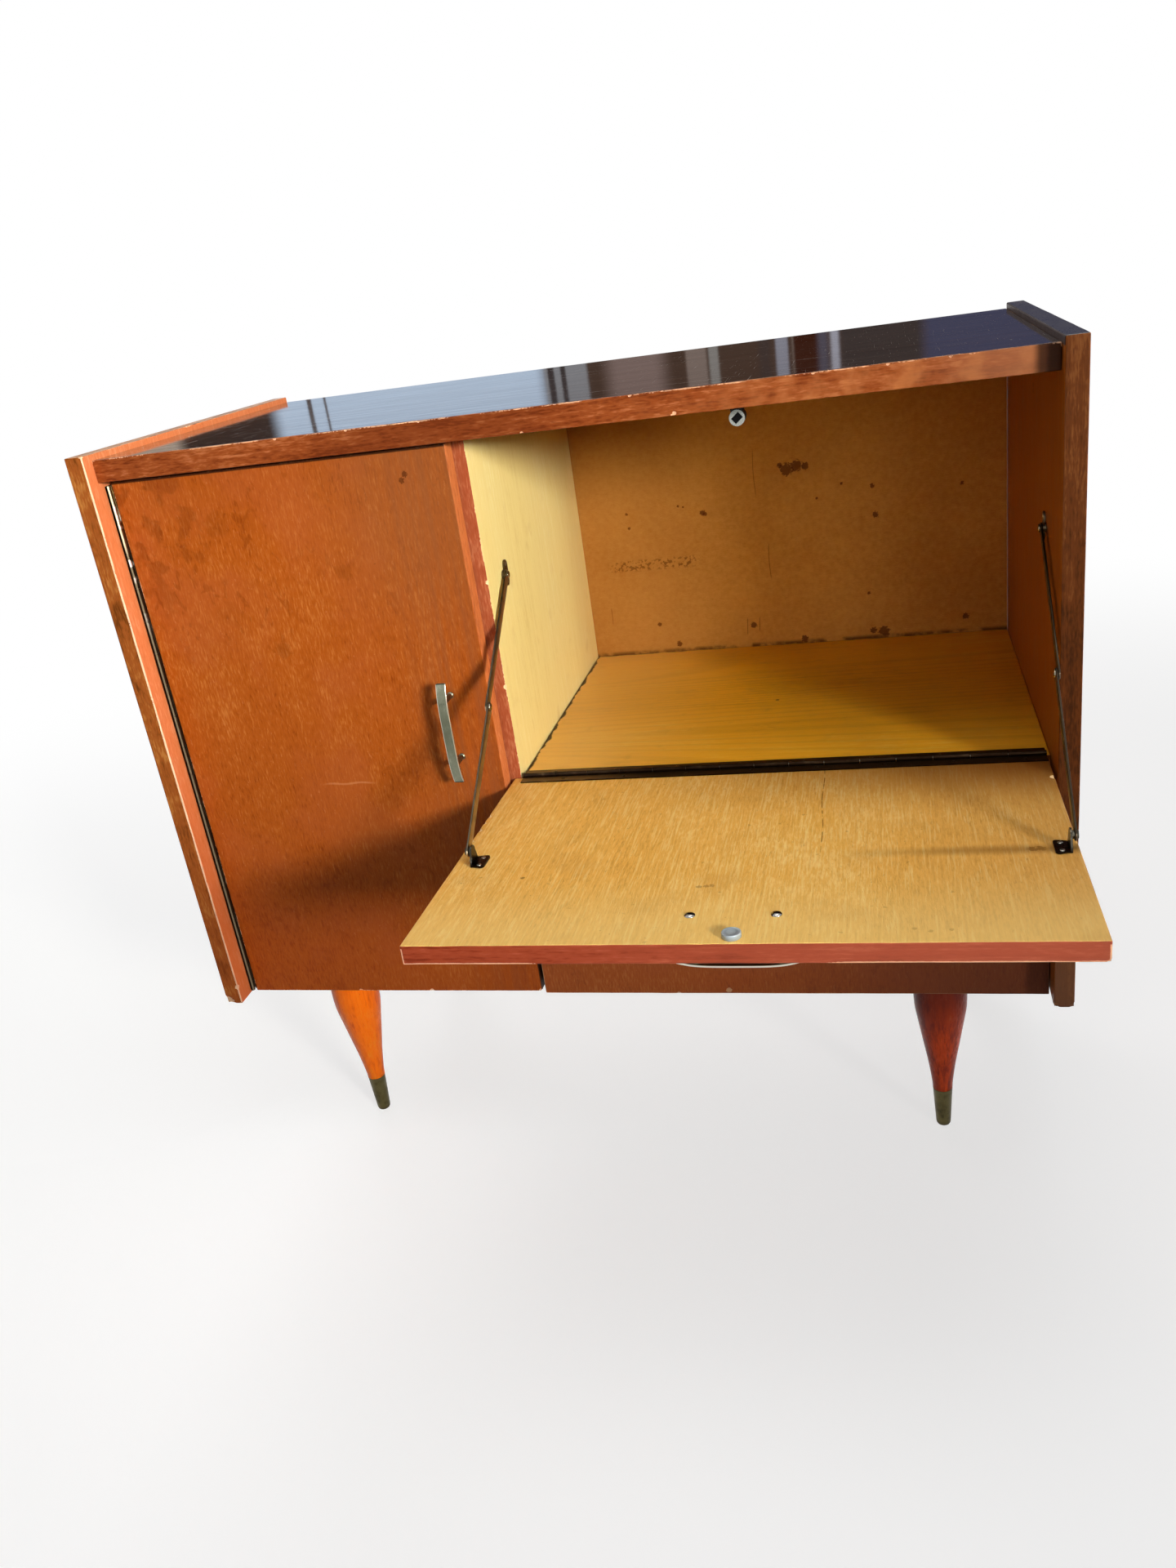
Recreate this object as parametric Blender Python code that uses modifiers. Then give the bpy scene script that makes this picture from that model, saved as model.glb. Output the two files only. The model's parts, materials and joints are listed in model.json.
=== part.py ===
"""Bar sideboard: a veneered cabinet on four turned legs, with a door, a drawer and a fall-front bar.

Cabinet coordinates: x runs right from the left side's outer face, y runs back from the sides'
front edges, and z runs up from the sides' lower ends. The function place turns them into the
part's own frame: origin on the floor under the middle of the whole piece with its flap down,
+X right, +Y back, +Z up. Every length is in metres.
"""
import math

import bmesh
import bpy
from mathutils import Matrix, Vector

# Clearances that every piece shares
FIT_GAP = 0.0003             # between two pieces that touch
CUT_OVERRUN = 0.001          # how far a cutter stands out of what it cuts
JOIN_DEPTH = 0.0005          # how far joined shapes of one piece reach into each other
WELD_DISTANCE = 0.000001     # between mesh points that are one point
EDGE_ROUND = 0.0008          # worn edges of the boards

# Cabinet
CABINET_WIDTH = 0.900
CABINET_DEPTH = 0.445
SIDE_HEIGHT = 0.608
SIDE_THICKNESS = 0.0185
BOARD_THICKNESS = 0.018      # bottom, divider and bar shelf
TOP_THICKNESS = 0.021
TOP_SINK = 0.006             # the sides stand this much above the top
TOP_SETBACK = 0.014
LIPPING_DEPTH = 0.004        # veneered strip along the top's front edge
BACK_THICKNESS = 0.004
BACK_INSET = 0.005
DIVIDER_CENTRE = 0.3675      # from the left side's outer face
BAR_SHELF_TOP = 0.242
INNER_SHELF_THICKNESS = 0.016
INNER_SHELF_SETBACK = 0.030  # behind the divider's front edge
INNER_SHELF_TOP = 0.310
BATTEN_WIDTH = 0.012
BATTEN_HEIGHT = 0.018
BATTEN_SETBACK = 0.020       # behind the inner shelf's front edge

# Turned legs and their metal ferrules
LEG_HEIGHT = 0.200
LEG_RADIUS = 0.0271          # at the widest place
LEG_SHOULDER_RADIUS = 0.0252  # against the bottom panel
LEG_INSET_X = 0.1200         # leg centre from the side's outer face
LEG_INSET_Y = 0.073          # leg centre from the cabinet's front and back
LEG_TENON_RADIUS = 0.010
LEG_TENON_LENGTH = 0.014
LEG_SEGMENTS = 24
LEG_SHAPE_SHARES = (         # depth as a share of the leg's height, radius as a share of its radius
    (0.05, 0.964), (0.10, 0.992), (0.15, 1.0), (0.195, 0.989), (0.243, 0.961),
    (0.34, 0.839), (0.463, 0.682), (0.5875, 0.525), (0.715, 0.400),
)
FERRULE_HEIGHT = 0.0485
FERRULE_TOP_RADIUS = 0.0102
FERRULE_FOOT_RADIUS = 0.0077
FERRULE_PAD_RADIUS = 0.0055  # flat disc that meets the floor
FERRULE_ROUND = 0.005        # height of the rounded end
FERRULE_WALL = 0.001
FERRULE_FLOOR = 0.003
FERRULE_SEGMENTS = 20
FERRULE_ROUND_STEPS = 3

# Fronts
FRONT_SETBACK = 0.026        # door and drawer front behind the sides' front edges
DOOR_THICKNESS = 0.019
DRAWER_FRONT_THICKNESS = 0.018
FLAP_THICKNESS = 0.0165
FRONT_SPLIT = 0.004          # between the door and the flap
FRONT_SIDE_GAP = 0.003       # beside the right side
FRONT_TOP_GAP = 0.002        # under the top
FLAP_TILT = math.radians(1.3)  # the open flap's front edge stands a little high
FLAP_EDGE_GAP = 0.0005       # from the hinge axis to the flap, and to the boards behind it
DRAWER_TOP_GAP = 0.0025      # under the flap's swing
DRAWER_SIDE_GAP = 0.001      # between the drawer front and the right side
DRAWER_FRONT_DROP = 0.0025   # drawer front's lower edge below the door's

# Piano hinges
KNUCKLE_RADIUS = 0.0024
LEAF_THICKNESS = 0.001
LEAF_WIDTH = 0.015
HINGE_BORE_RADIUS = 0.0012
HINGE_PIN_RADIUS = 0.0009
KNUCKLE_GAP = 0.0004
NOTCH_CLEARANCE = 0.0005
BARREL_SEGMENTS = 12
BORE_SEGMENTS = 8
DOOR_KNUCKLES = 17
FLAP_KNUCKLES = 15
DOOR_HINGE_END_GAP = 0.003
FLAP_HINGE_LEFT_GAP = 0.003
FLAP_HINGE_RIGHT_GAP = 0.0006
DOOR_PIN_STAND = 0.0025      # the door's pin is in front of the door's face

# Handles: a flat steel strap on two round posts, each held by a screw from inside
STRAP_LENGTH = 0.103
STRAP_WIDTH = 0.010
STRAP_THICKNESS = 0.0018
STRAP_END_DROP = 0.006       # the strap's ends bend towards the panel
STRAP_STEPS = 10
STRAP_BEND_POWER = 4
HANDLE_PROJECTION = 0.0265
POST_SPACING = 0.065
POST_FRONT_RADIUS = 0.0032
POST_SEAT_RADIUS = 0.0024
POST_SEGMENTS = 14
SCREW_HEAD_RADIUS = 0.0043
SCREW_HEAD_HEIGHT = 0.0022
SCREW_SHANK_RADIUS = 0.0018
SCREW_HOLE_RADIUS = 0.0023
SCREW_SLOT_WIDTH = 0.0011
SCREW_SLOT_DEPTH = 0.0010
SCREW_SEGMENTS = 14
SCREW_DOME_STEPS = 3
DOOR_HANDLE_EDGE = 0.0393    # handle centre from the door's free edge
DOOR_HANDLE_HEIGHT = 0.310   # handle centre above the door's lower edge
FLAP_HANDLE_EDGE = 0.0425    # handle centre from the flap's front edge
FLAP_HANDLE_SHIFT = 0.0025   # handle centre left of the flap's middle
DRAWER_HANDLE_HEIGHT = 0.112

# Magnetic catches under the top and their strikes
CATCH_RADIUS = 0.0069
CATCH_LENGTH = 0.017
CATCH_DROP = 0.0121          # barrel centre below the top's underside
CATCH_SADDLE_WIDTH = 0.0105
CATCH_FLANGE_WIDTH = 0.027
CATCH_FLANGE_THICKNESS = 0.002
CATCH_SEGMENTS = 24
MAGNET_LENGTH = 0.0078
MAGNET_WIDTH = 0.0056
MAGNET_DEPTH = 0.006
MAGNET_TURN = math.radians(-40.0)
STRIKE_RADIUS = 0.0073
STRIKE_HEIGHT = 0.0042
STRIKE_ROUND = 0.0005
STRIKE_SEGMENTS = 24

# Folding stays between the bar's walls and the flap
STAY_WALL_BEHIND = 0.0483    # wall pivot behind the flap's hinge axis
STAY_WALL_ABOVE = 0.1951     # wall pivot above the flap's hinge axis
STAY_FLAP_REACH = 0.193      # flap pivot from the hinge axis
STAY_FLAP_RISE = 0.0115      # flap pivot above the flap's inner face
STAY_UPPER_SHARE = 0.511     # the upper arm's part of the whole length
ARM_HALF_WIDTH = 0.005
ARM_THICKNESS = 0.0018
ARM_END_STEPS = 8
ARM_STANDOFF = 0.0034        # between the wall and the upper arm
EAR_STANDOFF = 0.0092        # between the wall and the flap bracket's ear
BRACKET_THICKNESS = 0.0015
EYE_RADIUS = 0.0023
STUD_RADIUS = 0.002
STUD_HEAD_RADIUS = 0.0035
STUD_HEAD_HEIGHT = 0.001
STUD_SEGMENTS = 12
WALL_PLATE_HALF_LENGTH = 0.013
WALL_PLATE_HALF_WIDTH = 0.0055
WALL_PLATE_BACK = 0.0095     # the oval plate's centre behind the pivot
WALL_LOBE_RADIUS = 0.0045    # of the plate's tongue, round the pivot
FLAP_BASE_LENGTH = 0.0125    # from the ear into the compartment
FLAP_BASE_HALF_WIDTH = 0.0115
FLAP_BASE_TIP_RADIUS = 0.003
EAR_HALF_WIDTH = 0.0055
EAR_FOOT_HALF_WIDTH = 0.0095

# Drawer
DRAWER_CLEARANCE = 0.003     # between a drawer side and its wall
DRAWER_SIDE_THICKNESS = 0.014
DRAWER_SIDE_HEIGHT = 0.176
DRAWER_SIDE_LIFT = 0.006     # drawer sides above the bottom panel
DRAWER_BOX_DEPTH = 0.350
DRAWER_BACK_THICKNESS = 0.012
DRAWER_BOTTOM_THICKNESS = 0.005
DRAWER_BOTTOM_LIFT = 0.008   # drawer bottom above the sides' lower edges
DRAWER_GROOVE_DEPTH = 0.005  # the bottom's grooves
RUNNER_GROOVE_DEPTH = 0.007
RUNNER_HEIGHT = 0.017
RUNNER_SETBACK = 0.010       # behind the drawer front

# Places that follow from the sizes
LEFT_WALL = SIDE_THICKNESS
RIGHT_WALL = CABINET_WIDTH - SIDE_THICKNESS
DIVIDER_LEFT = DIVIDER_CENTRE - BOARD_THICKNESS / 2
DIVIDER_RIGHT = DIVIDER_CENTRE + BOARD_THICKNESS / 2
TOP_SURFACE = SIDE_HEIGHT - TOP_SINK
TOP_UNDERSIDE = TOP_SURFACE - TOP_THICKNESS
FRONTS_BACK = FRONT_SETBACK + DOOR_THICKNESS
BACK_FACE = CABINET_DEPTH - BACK_INSET
BACK_INNER_FACE = BACK_FACE - BACK_THICKNESS
FRONTS_TOP = TOP_UNDERSIDE - FRONT_TOP_GAP
HINGE_STAND = KNUCKLE_RADIUS + FIT_GAP
DOOR_PIN_X = LEFT_WALL + HINGE_STAND
DOOR_PIN_Y = FRONT_SETBACK - DOOR_PIN_STAND
DOOR_RIGHT = DIVIDER_CENTRE - FRONT_SPLIT / 2
FLAP_PIN_Y = FRONTS_BACK + HINGE_STAND
FLAP_PIN_Z = BAR_SHELF_TOP + HINGE_STAND
CARCASS_FRONT = FLAP_PIN_Y + FLAP_EDGE_GAP
FLAP_LEFT = DIVIDER_CENTRE + FRONT_SPLIT / 2
FLAP_RIGHT = RIGHT_WALL - FRONT_SIDE_GAP
FLAP_REACH = FRONTS_TOP - FLAP_PIN_Z
FLAP_INNER_FACE = -HINGE_STAND
FLAP_OUTER_FACE = FLAP_INNER_FACE - FLAP_THICKNESS
DRAWER_TOP = FLAP_PIN_Z - math.hypot(FLAP_EDGE_GAP, FLAP_OUTER_FACE) - DRAWER_TOP_GAP
FLAP_MIDDLE = (FLAP_LEFT + FLAP_RIGHT) / 2
CATCH_Z = TOP_UNDERSIDE - CATCH_DROP
CATCH_FRONT = FRONTS_BACK + FIT_GAP + STRIKE_HEIGHT + FIT_GAP
FRONT_REACH = FLAP_REACH * math.cos(FLAP_TILT) - FLAP_OUTER_FACE * math.sin(FLAP_TILT) - FLAP_PIN_Y
FRAME_MIDDLE_Y = (CABINET_DEPTH - FRONT_REACH) / 2

# Colours of the finishes, as shares of red, green and blue on a screen
TEAK = (0.62, 0.33, 0.15)
DARK_TEAK = (0.24, 0.16, 0.13)
ORANGE_TEAK = (0.80, 0.40, 0.18)
HONEY = (0.87, 0.69, 0.38)
AMBER = (0.85, 0.63, 0.29)
LEG_ORANGE = (0.86, 0.36, 0.10)
HARDBOARD = (0.60, 0.40, 0.22)
PINE = (0.80, 0.66, 0.45)
NICKEL = (0.62, 0.63, 0.60)
BRONZE = (0.36, 0.29, 0.20)
BRASS = (0.50, 0.44, 0.26)
BLACK = (0.05, 0.05, 0.05)


def linear(share):
    """Screen brightness to the linear value that a material takes."""
    return share / 12.92 if share <= 0.04045 else ((share + 0.055) / 1.055) ** 2.4


def material(name, colour, roughness, metallic=0.0):
    """The material called name, made the first time it is asked for."""
    found = bpy.data.materials.get(name)
    if found:
        return found
    made = bpy.data.materials.new(name)
    made.use_nodes = True
    shader = made.node_tree.nodes["Principled BSDF"]
    shader.inputs["Base Color"].default_value = (*[linear(share) for share in colour], 1.0)
    shader.inputs["Roughness"].default_value = roughness
    shader.inputs["Metallic"].default_value = metallic
    return made


def wood(piece, colour, roughness=0.45):
    """Each wooden piece has a material of its own, named after it."""
    return material(f"{piece}_veneer", colour, roughness)


def metal(piece, colour, roughness=0.35):
    """Each metal piece has a material of its own, named after it."""
    return material(f"{piece}_metal", colour, roughness, metallic=1.0)


def place(x, y, z):
    """Cabinet coordinates to the part's own frame."""
    return Vector((x - CABINET_WIDTH / 2, y - FRAME_MIDDLE_Y, z + LEG_HEIGHT))


def axes(x_axis, y_axis):
    """Rotation whose local x and y lie along the given directions."""
    x_axis = Vector(x_axis).normalized()
    y_axis = Vector(y_axis).normalized()
    return Matrix((x_axis, y_axis, x_axis.cross(y_axis))).transposed().to_4x4()


def guide(name, location, rotation=Matrix.Identity(4), parent=None):
    """An empty that carries the pieces of one body or one fitting."""
    empty = bpy.data.objects.new(name, None)
    empty.matrix_local = Matrix.Translation(location) @ rotation
    empty.parent = parent
    parts.objects.link(empty)
    return empty


def body(name, mesh, finish, parent=None, location=(0.0, 0.0, 0.0)):
    """A piece of the sideboard from its mesh."""
    made = bpy.data.objects.new(name, mesh)
    mesh.materials.append(finish)
    made.parent = parent
    made.location = location
    parts.objects.link(made)
    return made


def tool(name, mesh, parent=None, location=(0.0, 0.0, 0.0)):
    """A shape that cuts or joins a piece, and isn't one itself."""
    made = bpy.data.objects.new(name, mesh)
    made.parent = parent
    made.location = location
    made.display_type = "WIRE"
    made.hide_render = True
    tools.objects.link(made)
    return made


def combine(piece, shape, operation):
    """Cut a shape out of a piece, or join it on."""
    modifier = piece.modifiers.new(shape.name, "BOOLEAN")
    modifier.operation = operation
    modifier.solver = "EXACT"
    modifier.object = shape


def block_mesh(name, low, high, turn=Matrix.Identity(4)):
    """A box about the middle of its corners."""
    size = Vector(high) - Vector(low)
    mesh = bpy.data.meshes.new(name)
    shape = bmesh.new()
    bmesh.ops.create_cube(shape, size=1.0, matrix=turn @ Matrix.Diagonal(size.to_4d()))
    shape.to_mesh(mesh)
    shape.free()
    return mesh


def middle(low, high):
    return (Vector(low) + Vector(high)) / 2


def board(name, low, high, finish, parent=None):
    """A board between two corners, with slightly rounded edges."""
    centre = middle(low, high)
    location = centre if parent else place(*centre)
    made = body(name, block_mesh(name, low, high), finish, parent, location)
    bevel = made.modifiers.new("worn_edges", "BEVEL")
    bevel.width = EDGE_ROUND
    bevel.segments = 1
    return made


def block_tool(name, low, high, parent=None):
    centre = middle(low, high)
    location = centre if parent else place(*centre)
    return tool(name, block_mesh(name, low, high), parent, location)


def drum_mesh(name, near_radius, far_radius, near, far, segments):
    """A round bar or cone along z, from near to far."""
    mesh = bpy.data.meshes.new(name)
    shape = bmesh.new()
    bmesh.ops.create_cone(
        shape, cap_ends=True, segments=segments, radius1=near_radius, radius2=far_radius,
        depth=far - near, matrix=Matrix.Translation((0.0, 0.0, (near + far) / 2)))
    shape.to_mesh(mesh)
    shape.free()
    return mesh


def smooth(mesh):
    mesh.shade_smooth()
    mesh.set_sharp_from_angle(angle=math.radians(40.0))


def turned_mesh(name, profile):
    """The open profile of a turned piece: radius and height, from the top down its outer side."""
    mesh = bpy.data.meshes.new(name)
    points = [(radius, 0.0, height) for radius, height in profile]
    edges = [(index, index + 1) for index in range(len(points) - 1)]
    mesh.from_pydata(points, edges, [])
    return mesh


def turn_on_lathe(piece, segments):
    """Turn an object's profile round its z axis."""
    screw = piece.modifiers.new("lathe", "SCREW")
    screw.steps = segments
    screw.render_steps = segments
    screw.use_merge_vertices = True
    screw.merge_threshold = WELD_DISTANCE
    screw.use_smooth_shade = True


def arc(centre, radius, start, sweep, steps):
    """Points of an arc in the plane, both ends included."""
    angles = [start + sweep * step / steps for step in range(steps + 1)]
    return [(centre[0] + radius * math.cos(a), centre[1] + radius * math.sin(a)) for a in angles]


def ring(centre, radius, segments):
    """Points of a full circle."""
    return arc(centre, radius, 0.0, math.tau, segments)[:-1]


def outline_mesh(name, outlines, near, far):
    """A flat piece: closed outlines in the xy plane, filled from z near to z far."""
    curve = bpy.data.curves.new(name, "CURVE")
    curve.dimensions = "2D"
    curve.fill_mode = "BOTH"
    curve.extrude = (far - near) / 2
    for outline in outlines:
        spline = curve.splines.new("POLY")
        spline.points.add(len(outline) - 1)
        for point, (x, y) in zip(spline.points, outline):
            point.co = (x, y, 0.0, 1.0)
        spline.use_cyclic_u = True
    holder = bpy.data.objects.new(name, curve)
    tools.objects.link(holder)
    evaluated = holder.evaluated_get(bpy.context.evaluated_depsgraph_get())
    mesh = bpy.data.meshes.new_from_object(evaluated)
    bpy.data.objects.remove(holder)
    shape = bmesh.new()
    shape.from_mesh(mesh)
    bmesh.ops.remove_doubles(shape, verts=shape.verts, dist=WELD_DISTANCE)
    bmesh.ops.translate(shape, verts=shape.verts, vec=(0.0, 0.0, (near + far) / 2))
    shape.to_mesh(mesh)
    shape.free()
    mesh.name = name
    return mesh


def carcass():
    """Sides, top with its lipping, bottom, back, divider and shelf."""
    board("side_panel_left", (0.0, 0.0, 0.0), (LEFT_WALL, CABINET_DEPTH, SIDE_HEIGHT),
          wood("side_panel_left", TEAK))
    board("side_panel_right", (RIGHT_WALL, 0.0, 0.0), (CABINET_WIDTH, CABINET_DEPTH, SIDE_HEIGHT),
          wood("side_panel_right", ORANGE_TEAK))
    inner_left = LEFT_WALL + FIT_GAP
    inner_right = RIGHT_WALL - FIT_GAP
    lipping_back = TOP_SETBACK + LIPPING_DEPTH
    board("top_front_lipping", (inner_left, TOP_SETBACK, TOP_UNDERSIDE),
          (inner_right, lipping_back, TOP_SURFACE), wood("top_front_lipping", TEAK))
    board("top_panel", (inner_left, lipping_back + FIT_GAP, TOP_UNDERSIDE),
          (inner_right, CABINET_DEPTH, TOP_SURFACE), wood("top_panel", DARK_TEAK, 0.2))
    panel_back = BACK_INNER_FACE - FIT_GAP
    bottom = board("bottom_panel", (inner_left, CARCASS_FRONT, 0.0),
                   (inner_right, panel_back, BOARD_THICKNESS), wood("bottom_panel", ORANGE_TEAK))
    board("back_panel", (inner_left, BACK_INNER_FACE, 0.0),
          (inner_right, BACK_FACE, TOP_UNDERSIDE - FIT_GAP), wood("back_panel", HARDBOARD, 0.7))
    board("divider_panel", (DIVIDER_LEFT, CARCASS_FRONT, BOARD_THICKNESS + FIT_GAP),
          (DIVIDER_RIGHT, panel_back, TOP_UNDERSIDE - FIT_GAP), wood("divider_panel", HONEY))
    board("bar_shelf", (DIVIDER_RIGHT + FIT_GAP, CARCASS_FRONT, BAR_SHELF_TOP - BOARD_THICKNESS),
          (inner_right, panel_back, BAR_SHELF_TOP), wood("bar_shelf", AMBER, 0.3))
    return bottom


def inner_shelf():
    """A loose shelf on two battens behind the door."""
    front = CARCASS_FRONT + INNER_SHELF_SETBACK
    underside = INNER_SHELF_TOP - INNER_SHELF_THICKNESS
    board("inner_shelf", (LEFT_WALL + FIT_GAP, front, underside),
          (DIVIDER_LEFT - FIT_GAP, BACK_INNER_FACE - FIT_GAP, INNER_SHELF_TOP), wood("inner_shelf", ORANGE_TEAK))
    batten_top = underside - FIT_GAP
    for side, wall in (("left", LEFT_WALL + FIT_GAP), ("right", DIVIDER_LEFT - FIT_GAP - BATTEN_WIDTH)):
        name = f"inner_shelf_batten_{side}"
        board(name, (wall, front + BATTEN_SETBACK, batten_top - BATTEN_HEIGHT),
              (wall + BATTEN_WIDTH, BACK_INNER_FACE - BATTEN_SETBACK, batten_top), wood(name, PINE, 0.6))


def leg_profile():
    """Radius and height of a leg, heights from the bottom panel's underside."""
    ferrule_top = FERRULE_HEIGHT - LEG_HEIGHT
    tip = FERRULE_FLOOR + FIT_GAP - LEG_HEIGHT
    sleeve = FERRULE_WALL + FIT_GAP
    profile = [(0.0, LEG_TENON_LENGTH), (LEG_TENON_RADIUS, LEG_TENON_LENGTH), (LEG_TENON_RADIUS, -FIT_GAP),
               (LEG_SHOULDER_RADIUS, -FIT_GAP)]
    profile += [(LEG_RADIUS * radius, -LEG_HEIGHT * depth) for depth, radius in LEG_SHAPE_SHARES]
    profile += [(FERRULE_TOP_RADIUS, ferrule_top + FIT_GAP), (FERRULE_TOP_RADIUS - sleeve, ferrule_top + FIT_GAP),
                (FERRULE_FOOT_RADIUS - sleeve, tip), (0.0, tip)]
    return profile


def ferrule_profile():
    """Radius and height of the cup on a leg's tip, heights from the floor."""
    inner_top = FERRULE_TOP_RADIUS - FERRULE_WALL
    inner_foot = FERRULE_FOOT_RADIUS - FERRULE_WALL
    profile = [(0.0, FERRULE_FLOOR), (inner_foot, FERRULE_FLOOR), (inner_top, FERRULE_HEIGHT),
               (FERRULE_TOP_RADIUS, FERRULE_HEIGHT)]
    rounding = FERRULE_FOOT_RADIUS - FERRULE_PAD_RADIUS
    for step in range(FERRULE_ROUND_STEPS + 1):
        turn = math.pi / 2 * step / FERRULE_ROUND_STEPS
        profile.append((FERRULE_PAD_RADIUS + rounding * math.cos(turn), FERRULE_ROUND * (1 - math.sin(turn))))
    return profile + [(0.0, 0.0)]


def legs(bottom):
    """Four turned legs, each with a tenon in the bottom panel and a ferrule on its tip."""
    for end, y in (("front", LEG_INSET_Y), ("rear", CABINET_DEPTH - LEG_INSET_Y)):
        for side, x in (("left", LEG_INSET_X), ("right", CABINET_WIDTH - LEG_INSET_X)):
            name = f"leg_{end}_{side}"
            leg = body(name, turned_mesh(name, leg_profile()), wood(name, LEG_ORANGE, 0.3),
                       location=place(x, y, 0.0))
            turn_on_lathe(leg, LEG_SEGMENTS)
            name = f"ferrule_{end}_{side}"
            ferrule = body(name, turned_mesh(name, ferrule_profile()), metal(name, BRASS, 0.4),
                           location=place(x, y, -LEG_HEIGHT))
            turn_on_lathe(ferrule, FERRULE_SEGMENTS)
            mesh = drum_mesh(f"leg_hole_{end}_{side}", LEG_TENON_RADIUS + FIT_GAP, LEG_TENON_RADIUS + FIT_GAP,
                             -CUT_OVERRUN, LEG_TENON_LENGTH + FIT_GAP, LEG_SEGMENTS)
            combine(bottom, tool(mesh.name, mesh, location=place(x, y, 0.0)), "DIFFERENCE")


def leaf_outline():
    """A rolled leaf seen along the pin: the barrel is centred on the axis, the leaf runs along +x."""
    seat = -KNUCKLE_RADIUS
    shoulder = seat + LEAF_THICKNESS
    start = math.atan2(shoulder, math.sqrt(KNUCKLE_RADIUS ** 2 - shoulder ** 2))
    barrel = arc((0.0, 0.0), KNUCKLE_RADIUS, start, 3 * math.pi / 2 - start, BARREL_SEGMENTS)
    return barrel + [(LEAF_WIDTH, seat), (LEAF_WIDTH, shoulder)]


def hinge_leaf(name, parent, location, rotation, length, knuckles, first):
    """One leaf of a piano hinge; it keeps every second knuckle, from the one numbered first."""
    frame = guide(f"{name}_frame", location, rotation, parent)
    outlines = [leaf_outline(), ring((0.0, 0.0), HINGE_BORE_RADIUS, BORE_SEGMENTS)]
    leaf = body(name, outline_mesh(name, outlines, 0.0, length), metal(name, BRONZE), frame)
    pitch = length / knuckles
    reach = KNUCKLE_RADIUS + NOTCH_CLEARANCE
    outside = KNUCKLE_RADIUS + CUT_OVERRUN
    mesh = bpy.data.meshes.new(f"{name}_notches")
    shape = bmesh.new()
    for index in range(1 - first, knuckles, 2):
        low = Vector((-outside, -outside, index * pitch - KNUCKLE_GAP / 2))
        high = Vector((reach, outside, (index + 1) * pitch + KNUCKLE_GAP / 2))
        size = Matrix.Diagonal((high - low).to_4d())
        bmesh.ops.create_cube(shape, size=1.0, matrix=Matrix.Translation(middle(low, high)) @ size)
    shape.to_mesh(mesh)
    shape.free()
    combine(leaf, tool(mesh.name, mesh, frame), "DIFFERENCE")


def hinge_pin(name, location, rotation, length):
    pin = drum_mesh(name, HINGE_PIN_RADIUS, HINGE_PIN_RADIUS, 0.0, length, BORE_SEGMENTS)
    body(name, pin, metal(name, NICKEL), guide(f"{name}_frame", location, rotation))


def screw_profile(shank_end):
    """A dome-headed screw: heights from under its head, the shank reaching down to shank_end."""
    profile = [(0.0, SCREW_HEAD_HEIGHT)]
    for step in range(1, SCREW_DOME_STEPS + 1):
        turn = math.pi / 2 * step / SCREW_DOME_STEPS
        profile.append((SCREW_HEAD_RADIUS * math.sin(turn), SCREW_HEAD_HEIGHT * math.cos(turn)))
    return profile + [(SCREW_SHANK_RADIUS, 0.0), (SCREW_SHANK_RADIUS, shank_end), (0.0, shank_end)]


def strap_outline():
    """The strap's side view: x along its length, y away from the panel."""
    shares = [2 * step / STRAP_STEPS - 1 for step in range(STRAP_STEPS + 1)]
    crown = [(STRAP_LENGTH / 2 * share, HANDLE_PROJECTION - STRAP_END_DROP * abs(share) ** STRAP_BEND_POWER)
             for share in shares]
    belly = [(x, y - STRAP_THICKNESS) for x, y in crown]
    return belly + crown[::-1]


def handle(name, panel, panel_thickness, seat, screw_ends):
    """A strap handle on the seat's xy plane, its strap along x, with screws through the panel."""
    upright = axes((1.0, 0.0, 0.0), (0.0, 0.0, 1.0))
    side_view = guide(f"{name}_side_view", (0.0, STRAP_WIDTH / 2, 0.0), upright, seat)
    strap = body(name, outline_mesh(name, [strap_outline()], 0.0, STRAP_WIDTH), metal(name, NICKEL), side_view)
    post_share = POST_SPACING / STRAP_LENGTH
    strap_underside = HANDLE_PROJECTION - STRAP_END_DROP * post_share ** STRAP_BEND_POWER - STRAP_THICKNESS
    for end, x in zip(screw_ends, (-POST_SPACING / 2, POST_SPACING / 2)):
        post = drum_mesh(f"{name}_post_{end}", POST_SEAT_RADIUS, POST_FRONT_RADIUS, FIT_GAP,
                         strap_underside + JOIN_DEPTH, POST_SEGMENTS)
        smooth(post)
        combine(strap, tool(post.name, post, seat, (x, 0.0, 0.0)), "UNION")
        hole = drum_mesh(f"{name}_hole_{end}", SCREW_HOLE_RADIUS, SCREW_HOLE_RADIUS,
                         -panel_thickness - CUT_OVERRUN, CUT_OVERRUN, SCREW_SEGMENTS)
        combine(panel, tool(hole.name, hole, seat, (x, 0.0, 0.0)), "DIFFERENCE")
        head_seat = guide(f"{name}_screw_seat_{end}", (x, 0.0, -panel_thickness - FIT_GAP),
                          axes((1.0, 0.0, 0.0), (0.0, -1.0, 0.0)), seat)
        screw_name = f"{name}_screw_{end}"
        screw = body(screw_name, turned_mesh(screw_name, screw_profile(-panel_thickness - FIT_GAP)),
                     metal(screw_name, NICKEL), head_seat)
        turn_on_lathe(screw, SCREW_SEGMENTS)
        slot = block_tool(f"{screw_name}_slot",
                          (-SCREW_HEAD_RADIUS, -SCREW_SLOT_WIDTH / 2, SCREW_HEAD_HEIGHT - SCREW_SLOT_DEPTH),
                          (SCREW_HEAD_RADIUS, SCREW_SLOT_WIDTH / 2, SCREW_HEAD_HEIGHT + CUT_OVERRUN), head_seat)
        combine(screw, slot, "DIFFERENCE")


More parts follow.
